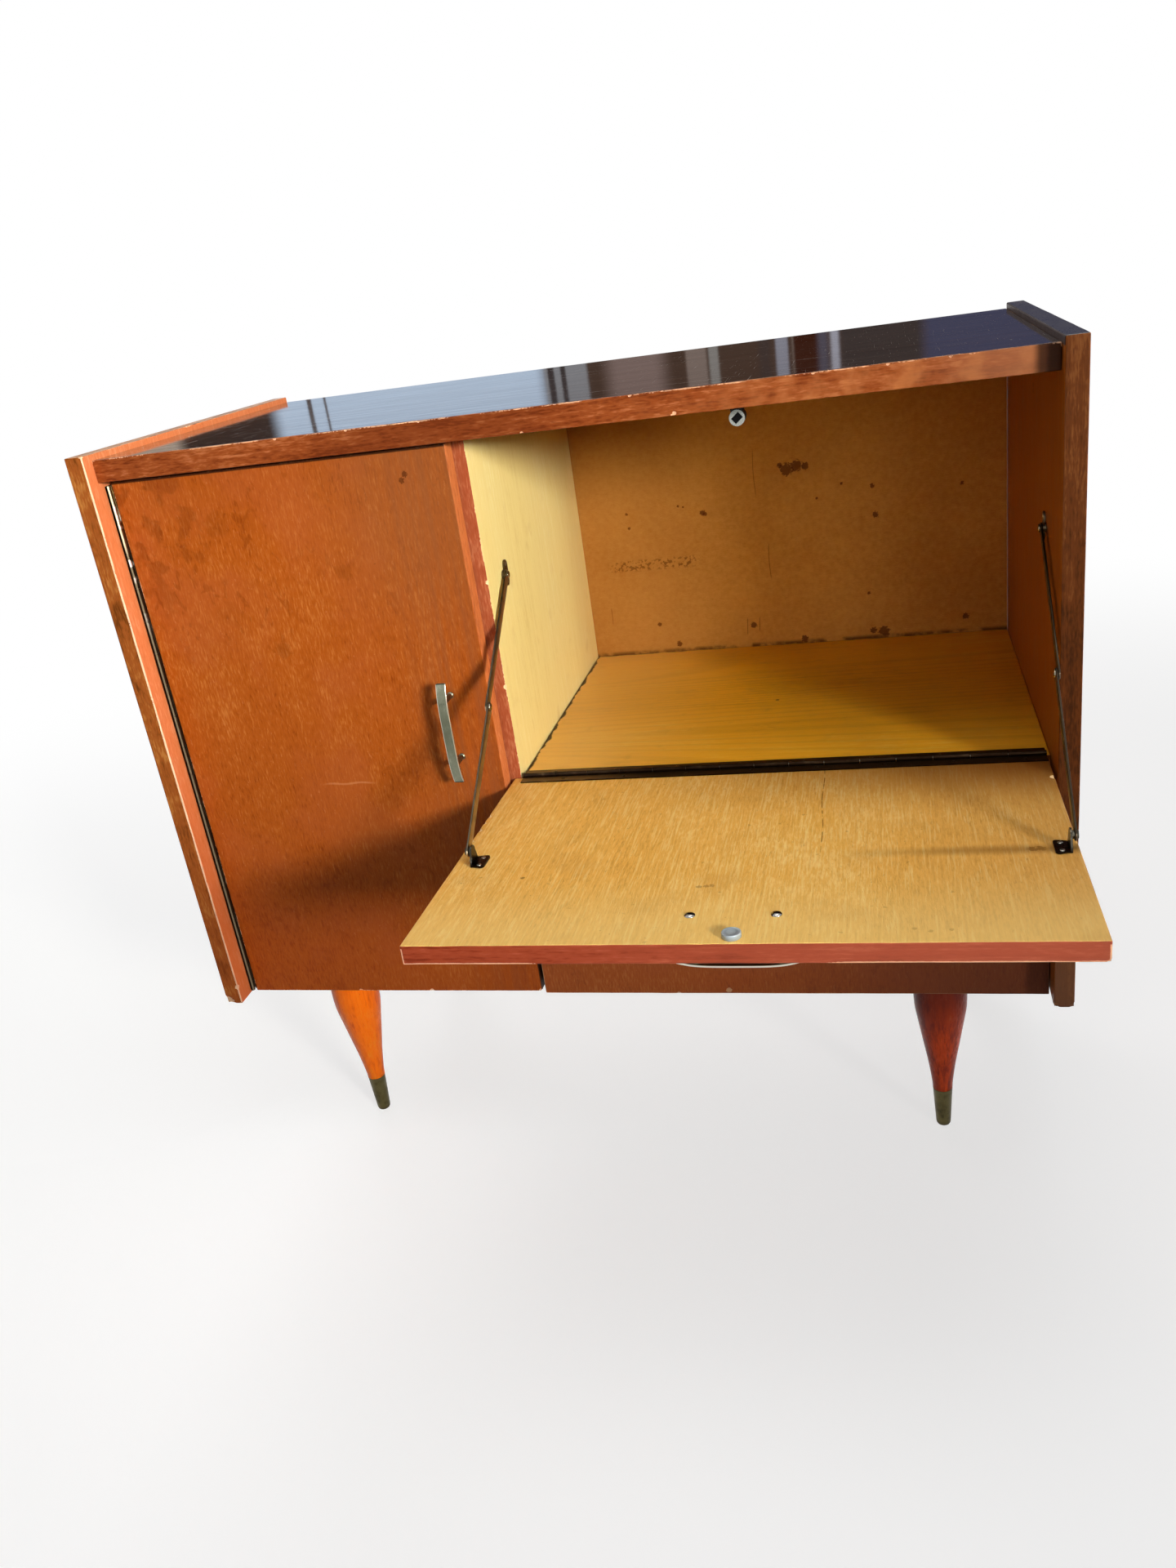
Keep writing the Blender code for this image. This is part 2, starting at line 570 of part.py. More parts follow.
def magnetic_catch(prefix, x, strike_parent, strike_location, strike_rotation):
    """A barrel catch under the top, its magnet, and the steel strike on the panel that it holds."""
    front = axes((1.0, 0.0, 0.0), (0.0, 0.0, -1.0))
    frame = guide(f"{prefix}_catch_frame", place(x, CATCH_FRONT, CATCH_Z), front)
    barrel = drum_mesh(f"{prefix}_catch_body", CATCH_RADIUS, CATCH_RADIUS, 0.0, CATCH_LENGTH, CATCH_SEGMENTS)
    smooth(barrel)
    catch = body(barrel.name, barrel, metal(barrel.name, NICKEL), frame)
    seat = CATCH_DROP - FIT_GAP
    saddle = block_tool(f"{prefix}_catch_saddle", (-CATCH_SADDLE_WIDTH / 2, -seat + JOIN_DEPTH, JOIN_DEPTH),
                        (CATCH_SADDLE_WIDTH / 2, -CATCH_RADIUS / 2, CATCH_LENGTH - JOIN_DEPTH), frame)
    flange = block_tool(f"{prefix}_catch_flange", (-CATCH_FLANGE_WIDTH / 2, -seat, 2 * JOIN_DEPTH),
                        (CATCH_FLANGE_WIDTH / 2, CATCH_FLANGE_THICKNESS - seat, CATCH_LENGTH - 2 * JOIN_DEPTH), frame)
    combine(catch, saddle, "UNION")
    combine(catch, flange, "UNION")
    turn = Matrix.Rotation(MAGNET_TURN, 4, "Z")
    half = Vector((MAGNET_LENGTH / 2, MAGNET_WIDTH / 2, MAGNET_DEPTH / 2))
    wall = Vector((FIT_GAP, FIT_GAP, FIT_GAP / 2 + CUT_OVERRUN / 2))
    recess = block_mesh(f"{prefix}_catch_recess", -half - wall, half + wall, turn)
    recess_middle = (0.0, 0.0, (MAGNET_DEPTH + FIT_GAP - CUT_OVERRUN) / 2)
    combine(catch, tool(recess.name, recess, frame, recess_middle), "DIFFERENCE")
    name = f"{prefix}_catch_magnet"
    body(name, block_mesh(name, -half, half, turn), material(name, BLACK, 0.5), frame, (0.0, 0.0, MAGNET_DEPTH / 2))
    name = f"{prefix}_strike"
    disc = [(0.0, STRIKE_HEIGHT), (STRIKE_RADIUS - STRIKE_ROUND, STRIKE_HEIGHT),
            (STRIKE_RADIUS, STRIKE_HEIGHT - STRIKE_ROUND), (STRIKE_RADIUS, 0.0), (0.0, 0.0)]
    strike_frame = guide(f"{name}_frame", strike_location, strike_rotation, strike_parent)
    strike = body(name, turned_mesh(name, disc), metal(name, NICKEL), strike_frame, (0.0, 0.0, FIT_GAP))
    turn_on_lathe(strike, STRIKE_SEGMENTS)


def door():
    """The door, its piano hinge up the left side, its handle and its catch."""
    height = FRONTS_TOP
    pin = guide("door_hinge_axis", place(DOOR_PIN_X, DOOR_PIN_Y, 0.0))
    face = DOOR_PIN_STAND
    back = face + DOOR_THICKNESS
    right = DOOR_RIGHT - DOOR_PIN_X
    panel = board("door_panel", (HINGE_STAND, face, 0.0), (right, back, height), wood("door_panel", TEAK), pin)
    length = height - 2 * DOOR_HINGE_END_GAP
    upwards = place(DOOR_PIN_X, DOOR_PIN_Y, DOOR_HINGE_END_GAP)
    downwards = place(DOOR_PIN_X, DOOR_PIN_Y, DOOR_HINGE_END_GAP + length)
    hinge_leaf("door_hinge_fixed_leaf", None, downwards, axes((0.0, 1.0, 0.0), (1.0, 0.0, 0.0)),
               length, DOOR_KNUCKLES, 0)
    hinge_leaf("door_hinge_moving_leaf", pin, (0.0, 0.0, DOOR_HINGE_END_GAP),
               axes((0.0, 1.0, 0.0), (-1.0, 0.0, 0.0)), length, DOOR_KNUCKLES, 1)
    hinge_pin("door_hinge_pin", upwards, Matrix.Identity(4), length)
    upright = axes((0.0, 0.0, 1.0), (-1.0, 0.0, 0.0))
    seat = guide("door_handle_seat", (right - DOOR_HANDLE_EDGE, face, DOOR_HANDLE_HEIGHT), upright, pin)
    handle("door_handle", panel, DOOR_THICKNESS, seat, ("lower", "upper"))
    strike_x = right - DOOR_HANDLE_EDGE
    magnetic_catch("door", DOOR_PIN_X + strike_x, pin, (strike_x, back, CATCH_Z),
                   axes((1.0, 0.0, 0.0), (0.0, 0.0, -1.0)))


def flap():
    """The fall flap; its frame lies on the hinge axis, -y runs out along it and +z off its inner face."""
    pin = guide("flap_hinge_axis", place(0.0, FLAP_PIN_Y, FLAP_PIN_Z), Matrix.Rotation(-FLAP_TILT, 4, "X"))
    panel = board("flap_panel", (FLAP_LEFT, -FLAP_REACH, FLAP_OUTER_FACE),
                  (FLAP_RIGHT, -FLAP_EDGE_GAP, FLAP_INNER_FACE), wood("flap_panel", HONEY, 0.35), pin)
    left = DIVIDER_RIGHT + FLAP_HINGE_LEFT_GAP
    right = FLAP_RIGHT - FLAP_HINGE_RIGHT_GAP
    hinge_leaf("flap_hinge_fixed_leaf", None, place(left, FLAP_PIN_Y, FLAP_PIN_Z),
               axes((0.0, 1.0, 0.0), (0.0, 0.0, 1.0)), right - left, FLAP_KNUCKLES, 0)
    hinge_leaf("flap_hinge_moving_leaf", pin, (right, 0.0, 0.0),
               axes((0.0, -1.0, 0.0), (0.0, 0.0, 1.0)), right - left, FLAP_KNUCKLES, 1)
    hinge_pin("flap_hinge_pin", place(left, FLAP_PIN_Y, FLAP_PIN_Z), axes((0.0, 1.0, 0.0), (0.0, 0.0, 1.0)),
              right - left)
    below = axes((1.0, 0.0, 0.0), (0.0, -1.0, 0.0))
    seat = guide("flap_handle_seat", (FLAP_MIDDLE - FLAP_HANDLE_SHIFT, FLAP_HANDLE_EDGE - FLAP_REACH,
                                      FLAP_OUTER_FACE), below, pin)
    handle("flap_handle", panel, FLAP_THICKNESS, seat, ("left", "right"))
    magnetic_catch("flap", FLAP_MIDDLE, pin, (FLAP_MIDDLE, FLAP_PIN_Z - CATCH_Z, FLAP_INNER_FACE),
                   Matrix.Identity(4))
    return pin


def arm_outline(length):
    """A stay arm from its eye at the origin to its eye at x = length."""
    end = arc((length, 0.0), ARM_HALF_WIDTH, -math.pi / 2, math.pi, ARM_END_STEPS)
    start = arc((0.0, 0.0), ARM_HALF_WIDTH, math.pi / 2, math.pi, ARM_END_STEPS)
    return [end + start, ring((0.0, 0.0), EYE_RADIUS, STUD_SEGMENTS), ring((length, 0.0), EYE_RADIUS, STUD_SEGMENTS)]


def stud_profile(root, seat, head_top, collar=None):
    """A headed stud along z: root is its buried end, its head stands from seat to head_top.

    A collar, if it has one, reaches from the root to the height given.
    """
    foot = [(STUD_RADIUS, root)] if collar is None else [(STUD_RADIUS, collar), (STUD_HEAD_RADIUS, collar),
                                                         (STUD_HEAD_RADIUS, root)]
    return [(0.0, head_top), (STUD_HEAD_RADIUS, head_top), (STUD_HEAD_RADIUS, seat), (STUD_RADIUS, seat),
            *foot, (0.0, root)]


def stud_tool(name, parent, root, seat, head_top, collar):
    stud = tool(name, turned_mesh(name, stud_profile(root, seat, head_top, collar)), parent)
    turn_on_lathe(stud, STUD_SEGMENTS)
    return stud


def stay(side, wall_x, inwards, flap_pin):
    """A folding stay in planes beside its wall; inwards is the x direction into the compartment."""
    plate_far = FIT_GAP + BRACKET_THICKNESS
    upper_near = ARM_STANDOFF
    upper_far = upper_near + ARM_THICKNESS
    lower_near = upper_far + FIT_GAP
    lower_far = lower_near + ARM_THICKNESS
    lower_clear = lower_far + FIT_GAP
    ear_near = EAR_STANDOFF
    ear_far = ear_near + BRACKET_THICKNESS

    tilt = Matrix.Rotation(-FLAP_TILT, 3, "X")
    flap_pivot = Vector((0.0, -STAY_FLAP_REACH, FLAP_INNER_FACE + STAY_FLAP_RISE))
    wall_pivot = Vector((0.0, STAY_WALL_BEHIND, STAY_WALL_ABOVE))
    span = tilt @ flap_pivot - wall_pivot
    upper_length = span.length * STAY_UPPER_SHARE
    lower_length = span.length - upper_length
    hinge_point = place(wall_x, FLAP_PIN_Y, FLAP_PIN_Z)
    into = Vector((inwards, 0.0, 0.0))

    def facing(direction):
        """Rotation with x along direction and z into the compartment."""
        return axes(direction, into.cross(direction))

    wall_frame = guide(f"{side}_stay_wall_pivot", hinge_point + wall_pivot, facing(span))
    plate_frame = guide(f"{side}_stay_wall_plate_frame", hinge_point + wall_pivot, facing(Vector((0.0, 0.0, 1.0))))
    name = f"{side}_stay_wall_bracket"
    half = WALL_PLATE_HALF_LENGTH - WALL_PLATE_HALF_WIDTH
    back = -inwards * WALL_PLATE_BACK
    oval = (arc((half, back), WALL_PLATE_HALF_WIDTH, -math.pi / 2, math.pi, ARM_END_STEPS)
            + arc((-half, back), WALL_PLATE_HALF_WIDTH, math.pi / 2, math.pi, ARM_END_STEPS))
    bracket = body(name, outline_mesh(name, [oval], FIT_GAP, plate_far), metal(name, BRONZE), plate_frame)
    tongue = sorted((0.0, back))
    tongue = (arc((0.0, tongue[1]), WALL_LOBE_RADIUS, 0.0, math.pi, ARM_END_STEPS)
              + arc((0.0, tongue[0]), WALL_LOBE_RADIUS, math.pi, math.pi, ARM_END_STEPS))
    mesh = outline_mesh(f"{name}_tongue", [tongue], FIT_GAP + JOIN_DEPTH / 2, plate_far - JOIN_DEPTH / 2)
    combine(bracket, tool(mesh.name, mesh, plate_frame), "UNION")
    combine(bracket, stud_tool(f"{side}_stay_wall_stud", plate_frame, plate_far - JOIN_DEPTH, lower_near,
                               lower_near + STUD_HEAD_HEIGHT, upper_near - FIT_GAP), "UNION")

    name = f"{side}_stay_upper_arm"
    body(name, outline_mesh(name, arm_outline(upper_length), upper_near, upper_far), metal(name, NICKEL), wall_frame)

    lower_frame = guide(f"{side}_stay_flap_pivot", Vector((wall_x - CABINET_WIDTH / 2 - flap_pin.location.x, 0.0, 0.0))
                        + flap_pivot, tilt.inverted().to_4x4() @ facing(-span), flap_pin)
    name = f"{side}_stay_lower_arm"
    body(name, outline_mesh(name, arm_outline(lower_length), lower_near, lower_far), metal(name, NICKEL), lower_frame)

    name = f"{side}_stay_elbow_rivet"
    rivet = body(name, turned_mesh(name, stud_profile(lower_near, lower_clear, lower_clear + STUD_HEAD_HEIGHT)),
                 metal(name, NICKEL), lower_frame, (lower_length, 0.0, 0.0))
    turn_on_lathe(rivet, STUD_SEGMENTS)

    ear_frame = guide(f"{side}_stay_ear_frame", lower_frame.location, facing(Vector((0.0, 0.0, 1.0))), flap_pin)
    name = f"{side}_stay_flap_bracket"
    foot = FIT_GAP - STAY_FLAP_RISE
    ear_end = arc((0.0, 0.0), EAR_HALF_WIDTH, -math.pi / 2, math.pi, ARM_END_STEPS)
    ear = outline_mesh(name, [ear_end + [(foot, EAR_FOOT_HALF_WIDTH), (foot, -EAR_FOOT_HALF_WIDTH)]], ear_near,
                       ear_far)
    bracket = body(name, ear, metal(name, BRONZE), ear_frame)
    name = f"{side}_stay_flap_base"
    base_frame = guide(f"{name}_frame", (0.0, 0.0, 0.0), axes((0.0, 0.0, 1.0), (0.0, 1.0, 0.0)), ear_frame)
    tip = ear_near + FLAP_BASE_LENGTH - FLAP_BASE_TIP_RADIUS
    corner = FLAP_BASE_HALF_WIDTH - FLAP_BASE_TIP_RADIUS
    base = (arc((tip, -corner), FLAP_BASE_TIP_RADIUS, -math.pi / 2, math.pi / 2, ARM_END_STEPS // 2)
            + arc((tip, corner), FLAP_BASE_TIP_RADIUS, 0.0, math.pi / 2, ARM_END_STEPS // 2)
            + [(ear_near + JOIN_DEPTH, EAR_FOOT_HALF_WIDTH), (ear_near + JOIN_DEPTH, -EAR_FOOT_HALF_WIDTH)])
    mesh = outline_mesh(name, [base], -foot - BRACKET_THICKNESS, -foot - JOIN_DEPTH / 2)
    combine(bracket, tool(name, mesh, base_frame), "UNION")
    stud_frame = guide(f"{side}_stay_flap_stud_frame", (0.0, 0.0, 0.0), axes((1.0, 0.0, 0.0), (0.0, -1.0, 0.0)),
                       ear_frame)
    combine(bracket, stud_tool(f"{side}_stay_flap_stud", stud_frame, -ear_near - JOIN_DEPTH, -upper_far,
                               STUD_HEAD_HEIGHT - upper_far, -lower_clear), "UNION")


def drawer():
    """The drawer below the bar; its frame has the cabinet's x and z, and y from the drawer's face."""
    slide = guide("drawer_slide_axis", place(0.0, FRONT_SETBACK, 0.0))
    front = board("drawer_front", (FLAP_LEFT, 0.0, -DRAWER_FRONT_DROP),
                  (RIGHT_WALL - DRAWER_SIDE_GAP, DRAWER_FRONT_THICKNESS, DRAWER_TOP),
                  wood("drawer_front", TEAK), slide)
    box_front = DRAWER_FRONT_THICKNESS + FIT_GAP
    box_back = box_front + DRAWER_BOX_DEPTH
    low = BOARD_THICKNESS + DRAWER_SIDE_LIFT
    high = low + DRAWER_SIDE_HEIGHT
    left = DIVIDER_RIGHT + DRAWER_CLEARANCE
    right = RIGHT_WALL - DRAWER_CLEARANCE
    inner_left = left + DRAWER_SIDE_THICKNESS
    inner_right = right - DRAWER_SIDE_THICKNESS
    bottom_low = low + DRAWER_BOTTOM_LIFT
    bottom_high = bottom_low + DRAWER_BOTTOM_THICKNESS
    runner_low = (low + high - RUNNER_HEIGHT) / 2
    runner_high = runner_low + RUNNER_HEIGHT
    box_side = wood("drawer_box", PINE, 0.6)
    for side, outer, inner, wall, inwards in (("left", left, inner_left, DIVIDER_RIGHT, 1),
                                              ("right", right, inner_right, RIGHT_WALL, -1)):
        panel = board(f"drawer_side_{side}", (min(outer, inner), box_front, low),
                      (max(outer, inner), box_back, high), box_side, slide)
        groove = outer + inwards * RUNNER_GROOVE_DEPTH
        outside = outer - inwards * CUT_OVERRUN
        cutter = block_tool(f"runner_groove_{side}",
                            (min(outside, groove), box_front + RUNNER_SETBACK - FIT_GAP, runner_low - FIT_GAP),
                            (max(outside, groove), box_back + CUT_OVERRUN, runner_high + FIT_GAP), slide)
        combine(panel, cutter, "DIFFERENCE")
        groove = inner - inwards * DRAWER_GROOVE_DEPTH
        inside = inner + inwards * CUT_OVERRUN
        cutter = block_tool(f"bottom_groove_{side}",
                            (min(inside, groove), box_front - CUT_OVERRUN, bottom_low - FIT_GAP),
                            (max(inside, groove), box_back + CUT_OVERRUN, bottom_high + FIT_GAP), slide)
        combine(panel, cutter, "DIFFERENCE")
        runner = (wall + inwards * FIT_GAP, outer + inwards * (RUNNER_GROOVE_DEPTH - FIT_GAP))
        name = f"drawer_runner_{side}"
        board(name, (min(runner), FRONT_SETBACK + box_front + RUNNER_SETBACK, runner_low),
              (max(runner), FRONT_SETBACK + box_back, runner_high), wood(name, PINE, 0.6))
    board("drawer_back", (inner_left + FIT_GAP, box_back - DRAWER_BACK_THICKNESS, bottom_high + FIT_GAP),
          (inner_right - FIT_GAP, box_back, high), box_side, slide)
    tongue = DRAWER_GROOVE_DEPTH - FIT_GAP
    board("drawer_bottom", (inner_left - tongue, box_front, bottom_low),
          (inner_right + tongue, box_back, bottom_high), wood("drawer_bottom", HARDBOARD, 0.7), slide)
    level = axes((1.0, 0.0, 0.0), (0.0, 0.0, 1.0))
    seat = guide("drawer_handle_seat", (FLAP_MIDDLE, 0.0, DRAWER_HANDLE_HEIGHT), level, slide)
    handle("drawer_handle", front, DRAWER_FRONT_THICKNESS, seat, ("left", "right"))


for leftover in list(bpy.data.objects):
    bpy.data.objects.remove(leftover)
parts = bpy.data.collections.new("bar_sideboard")
tools = bpy.data.collections.new("cutters")
bpy.context.scene.collection.children.link(parts)
bpy.context.scene.collection.children.link(tools)

legs(carcass())
inner_shelf()
door()
flap_axis = flap()
stay("left", DIVIDER_RIGHT, 1.0, flap_axis)
stay("right", RIGHT_WALL, -1.0, flap_axis)
drawer()
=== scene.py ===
"""Bar sideboard, dressed: a veneered cabinet on turned legs, with a door, a drawer and a fall-front bar.

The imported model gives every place. Lengths are in metres, and the flap lies open, as in use.
"""
import json
import math

import bmesh
import bpy
from mathutils import Matrix, Vector, noise


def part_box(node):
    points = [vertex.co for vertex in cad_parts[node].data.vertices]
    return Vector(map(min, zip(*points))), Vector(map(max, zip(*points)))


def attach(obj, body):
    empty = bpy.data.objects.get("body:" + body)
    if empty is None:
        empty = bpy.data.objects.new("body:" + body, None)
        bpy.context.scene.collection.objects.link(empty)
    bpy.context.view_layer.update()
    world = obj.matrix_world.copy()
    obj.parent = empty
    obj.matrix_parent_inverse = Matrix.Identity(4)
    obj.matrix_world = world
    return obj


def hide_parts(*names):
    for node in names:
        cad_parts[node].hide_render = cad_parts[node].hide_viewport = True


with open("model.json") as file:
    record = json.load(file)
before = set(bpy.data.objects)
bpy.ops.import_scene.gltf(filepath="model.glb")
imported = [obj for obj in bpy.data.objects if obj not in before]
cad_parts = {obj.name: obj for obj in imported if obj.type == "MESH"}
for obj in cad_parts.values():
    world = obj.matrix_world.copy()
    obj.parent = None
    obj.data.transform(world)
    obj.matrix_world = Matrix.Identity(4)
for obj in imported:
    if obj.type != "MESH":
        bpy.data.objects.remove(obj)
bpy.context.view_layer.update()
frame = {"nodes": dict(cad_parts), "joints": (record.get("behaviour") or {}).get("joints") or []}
nodes = frame["nodes"]

# Studio: a white floor that keeps the shadow, a narrow lamp on the right, and soft ones in front, above,
# on the left and behind. A cloth behind is seen by the gloss alone, so that the lacquered top isn't white.


def colour(code):
    """The linear colour of a screen colour, written as six hexadecimal digits."""
    shares = [int(code[place:place + 2], 16) / 255 for place in (0, 2, 4)]
    linear = [share / 12.92 if share <= 0.04045 else ((share + 0.055) / 1.055) ** 2.4 for share in shares]
    return (*linear, 1.0)


def maths(operation, swapped=False):
    """A method that adds one Math node; swapped serves forms such as 1 - mask."""
    def method(self, *other):
        pair = (*other, self) if swapped else (self, *other)
        return self.shading.node("Math", {"operation": operation}, dict(enumerate(pair)))
    return method


class Wire:
    """One output of a shader node. Arithmetic on it adds Math nodes."""

    def __init__(self, shading, socket):
        self.shading = shading
        self.socket = socket

    __add__ = maths("ADD")
    __radd__ = maths("ADD", True)
    __sub__ = maths("SUBTRACT")
    __rsub__ = maths("SUBTRACT", True)
    __mul__ = maths("MULTIPLY")
    __rmul__ = maths("MULTIPLY", True)
    __truediv__ = maths("DIVIDE")
    __rtruediv__ = maths("DIVIDE", True)
    __pow__ = maths("POWER")
    __abs__ = maths("ABSOLUTE")
    __or__ = maths("MAXIMUM")
    __and__ = maths("MINIMUM")
    sine = maths("SINE")

    def rise(self, low, high):
        """0 up to low, 1 from high, and a smooth rise between them."""
        return self.shading.node("MapRange", {"interpolation_type": "SMOOTHSTEP"},
                                 {"Value": self, "From Min": low, "From Max": high})

    def fall(self, low, high):
        """1 up to low and 0 from high."""
        return 1.0 - self.rise(low, high)


class Shading:
    """The nodes of a material or of the world."""

    def __init__(self, tree):
        self.tree = tree

    def node(self, kind, settings=None, inputs=None, output=0):
        """An output of a new node: its settings are made first, then its sockets' values and links."""
        made = self.tree.nodes.new(f"ShaderNode{kind}")
        for name, value in (settings or {}).items():
            setattr(made, name, value)
        self.feed(made, inputs or {})
        sockets = [socket for socket in made.outputs if socket.enabled]
        return Wire(self, sockets[output] if isinstance(output, int) else made.outputs[output])

    def feed(self, made, inputs):
        """Values and links for a node's sockets, by name or by number; text is a screen colour."""
        sockets = [socket for socket in made.inputs if socket.enabled]
        for key, value in inputs.items():
            socket = sockets[key] if isinstance(key, int) else next(s for s in sockets if s.name == key)
            if isinstance(value, Wire):
                self.tree.links.new(value.socket, socket)
            else:
                socket.default_value = colour(value) if isinstance(value, str) else value

    def mix(self, share, first, second):
        """The first colour where share is 0, the second where it is 1."""
        return self.node("Mix", {"data_type": "RGBA"}, {"Factor": share, "A": first, "B": second})

    def ray_seen(self):
        """1 for what the camera, gloss and glass see, 0 for light that falls on things."""
        kinds = ("Is Camera Ray", "Is Glossy Ray", "Is Transmission Ray")
        camera, glossy, through = [self.node("LightPath", output=kind) for kind in kinds]
        return camera | glossy | through


def flat_mesh(name, points, faces):
    """A mesh of flat faces."""
    mesh = bpy.data.meshes.new(name)
    mesh.from_pydata(points, [], faces)
    return mesh


def shown(name, mesh, materials=(), matrix=Matrix.Identity(4)):
    """A new object in the scene."""
    made = bpy.data.objects.new(name, mesh)
    for material in materials:
        mesh.materials.append(material)
    bpy.context.scene.collection.objects.link(made)
    made.matrix_world = matrix
    return made


WHITE = (1.0, 1.0, 1.0, 1.0)
AMBIENT = 0.07
world = bpy.data.worlds.new("studio_air")
world.use_nodes = True
bpy.context.scene.world = world
air = Shading(world.node_tree)
air.feed(world.node_tree.nodes["Background"],
         {"Color": WHITE, "Strength": air.ray_seen() * (1.0 - AMBIENT) + AMBIENT})

FLOOR_HALF = 9.0
FLOOR_DROP = 0.0005
FLOOR_NEAR = 1.1
FLOOR_FAR = 2.6
FLOOR_TONE = (0.45, 0.45, 0.45, 1.0)
FLOOR_GLOW = (0.66, 0.66, 0.66, 1.0)
floor_paper = bpy.data.materials.new("floor_paper")
floor_paper.use_nodes = True
paper = Shading(floor_paper.node_tree)
matt = paper.tree.nodes["Principled BSDF"]
lift = paper.mix(paper.ray_seen(), "000000", FLOOR_GLOW)
paper.feed(matt, {"Base Color": FLOOR_TONE, "Roughness": 1.0, "Specular IOR Level": 0.0,
                  "Emission Color": lift, "Emission Strength": 1.0})
white_light = paper.node("Emission", {}, {"Color": WHITE, "Strength": 1.0})
away = paper.node("VectorMath", {"operation": "LENGTH"}, {0: paper.node("TexCoord", output="Object")})
joined = paper.node("MixShader", {}, {0: away.rise(FLOOR_NEAR, FLOOR_FAR) * paper.ray_seen(),
                                      1: Wire(paper, matt.outputs[0]), 2: white_light})
paper.tree.links.new(joined.socket, paper.tree.nodes["Material Output"].inputs["Surface"])
corners = [(x * FLOOR_HALF, y * FLOOR_HALF, -FLOOR_DROP) for x, y in ((-1, -1), (1, -1), (1, 1), (-1, 1))]
shown("studio_floor", flat_mesh("studio_floor", corners, [(0, 1, 2, 3)]), [floor_paper])


def soft_lamp(name, place, width, height, watts, tint, aim=(0.0, 0.0, 0.45), spread=180.0):
    """A rectangular lamp that faces the cabinet and isn't seen itself; a grid narrows its spread."""
    lamp = bpy.data.lights.new(name, "AREA")
    lamp.shape = "RECTANGLE"
    lamp.size = width
    lamp.size_y = height
    lamp.energy = watts
    lamp.color = colour(tint)[:3]
    lamp.spread = math.radians(spread)
    made = bpy.data.objects.new(name, lamp)
    bpy.context.scene.collection.objects.link(made)
    made.location = place
    made.rotation_euler = (Vector(aim) - Vector(place)).to_track_quat("-Z", "Y").to_euler()
    made.visible_camera = False


soft_lamp("window_lamp", (2.39, -2.52, 1.41), 0.65, 0.55, 7.2, "FFFBF2", (-0.40, -0.05, 0.80), 34.0)
soft_lamp("front_lamp", (0.9, -3.4, 1.55), 1.6, 0.8, 12.0, "FFFFFF")
soft_lamp("ceiling_lamp", (0.3, -0.3, 2.6), 1.6, 1.2, 19.0, "FFFFFF")
soft_lamp("left_lamp", (-2.6, -2.6, 1.6), 1.6, 1.6, 3.0, "F4F8FF")
soft_lamp("back_lamp", (-1.6, 3.0, 2.0), 1.6, 1.6, 50.0, "FFFFFF")

# The cloth stands behind the cabinet. From its left it is brown, pale blue, barred with greys and browns,
# and grey-violet, as a window and a room would look in the lacquer.
CLOTH_PLACE = 2.2
CLOTH_LEFT = -3.2
CLOTH_RIGHT = 3.2
CLOTH_LOW = 0.80
CLOTH_HIGH = 2.6
CLOTH_LEVEL = 0.96
CLOTH_SPANS = ((-3.2, -1.36, 0.02, "301E15"), (-1.38, -0.575, 0.03, "C2D4EA"),
               (-1.95, -1.70, 0.03, "B4A494"), (-1.276, -1.262, 0.003, "544844"),
               (-1.224, -1.217, 0.002, "544844"), (-0.575, -0.457, 0.006, "8C8C90"),
               (-0.566, -0.548, 0.003, "3C3434"), (-0.530, -0.516, 0.003, "3C3434"),
               (-0.40, -0.25, 0.03, "84706A"), (-0.19, -0.136, 0.004, "84746C"),
               (-0.13, -0.105, 0.004, "8C8884"), (0.0, 0.03, 0.01, "443834"),
               (0.043, 0.074, 0.004, "90909C"), (0.084, 0.090, 0.002, "6C5C54"),
               (0.09, 0.155, 0.003, "3C1C10"), (0.150, 0.175, 0.01, "54505C"),
               (0.182, 0.203, 0.006, "A8A8B4"), (0.207, 0.41, 0.01, "403836"), (0.41, 3.2, 0.02, "484A62"))
CLOTH_GROUND = "4C3A30"
dim_cloth = bpy.data.materials.new("dim_cloth")
dim_cloth.use_nodes = True
cloth = Shading(dim_cloth.node_tree)
cloth.tree.nodes.remove(cloth.tree.nodes["Principled BSDF"])
across = cloth.node("SeparateXYZ", {}, {0: cloth.node("TexCoord", output="Object")})
tint = CLOTH_GROUND
for left, right, soft, code in CLOTH_SPANS:
    within = across.rise(left - soft, left + soft) * across.fall(right - soft, right + soft)
    tint = cloth.mix(within, tint, code)
glow = cloth.node("Emission", {}, {"Color": tint, "Strength": CLOTH_LEVEL})
cloth.tree.links.new(glow.socket, cloth.tree.nodes["Material Output"].inputs["Surface"])
corners = [(CLOTH_LEFT, CLOTH_PLACE, CLOTH_LOW), (CLOTH_RIGHT, CLOTH_PLACE, CLOTH_LOW),
           (CLOTH_RIGHT, CLOTH_PLACE, CLOTH_HIGH), (CLOTH_LEFT, CLOTH_PLACE, CLOTH_HIGH)]
hanging = shown("studio_cloth", flat_mesh("studio_cloth", corners, [(0, 1, 2, 3)]), [dim_cloth])
for ray in ("camera", "diffuse", "transmission", "shadow", "volume_scatter"):
    setattr(hanging, f"visible_{ray}", False)

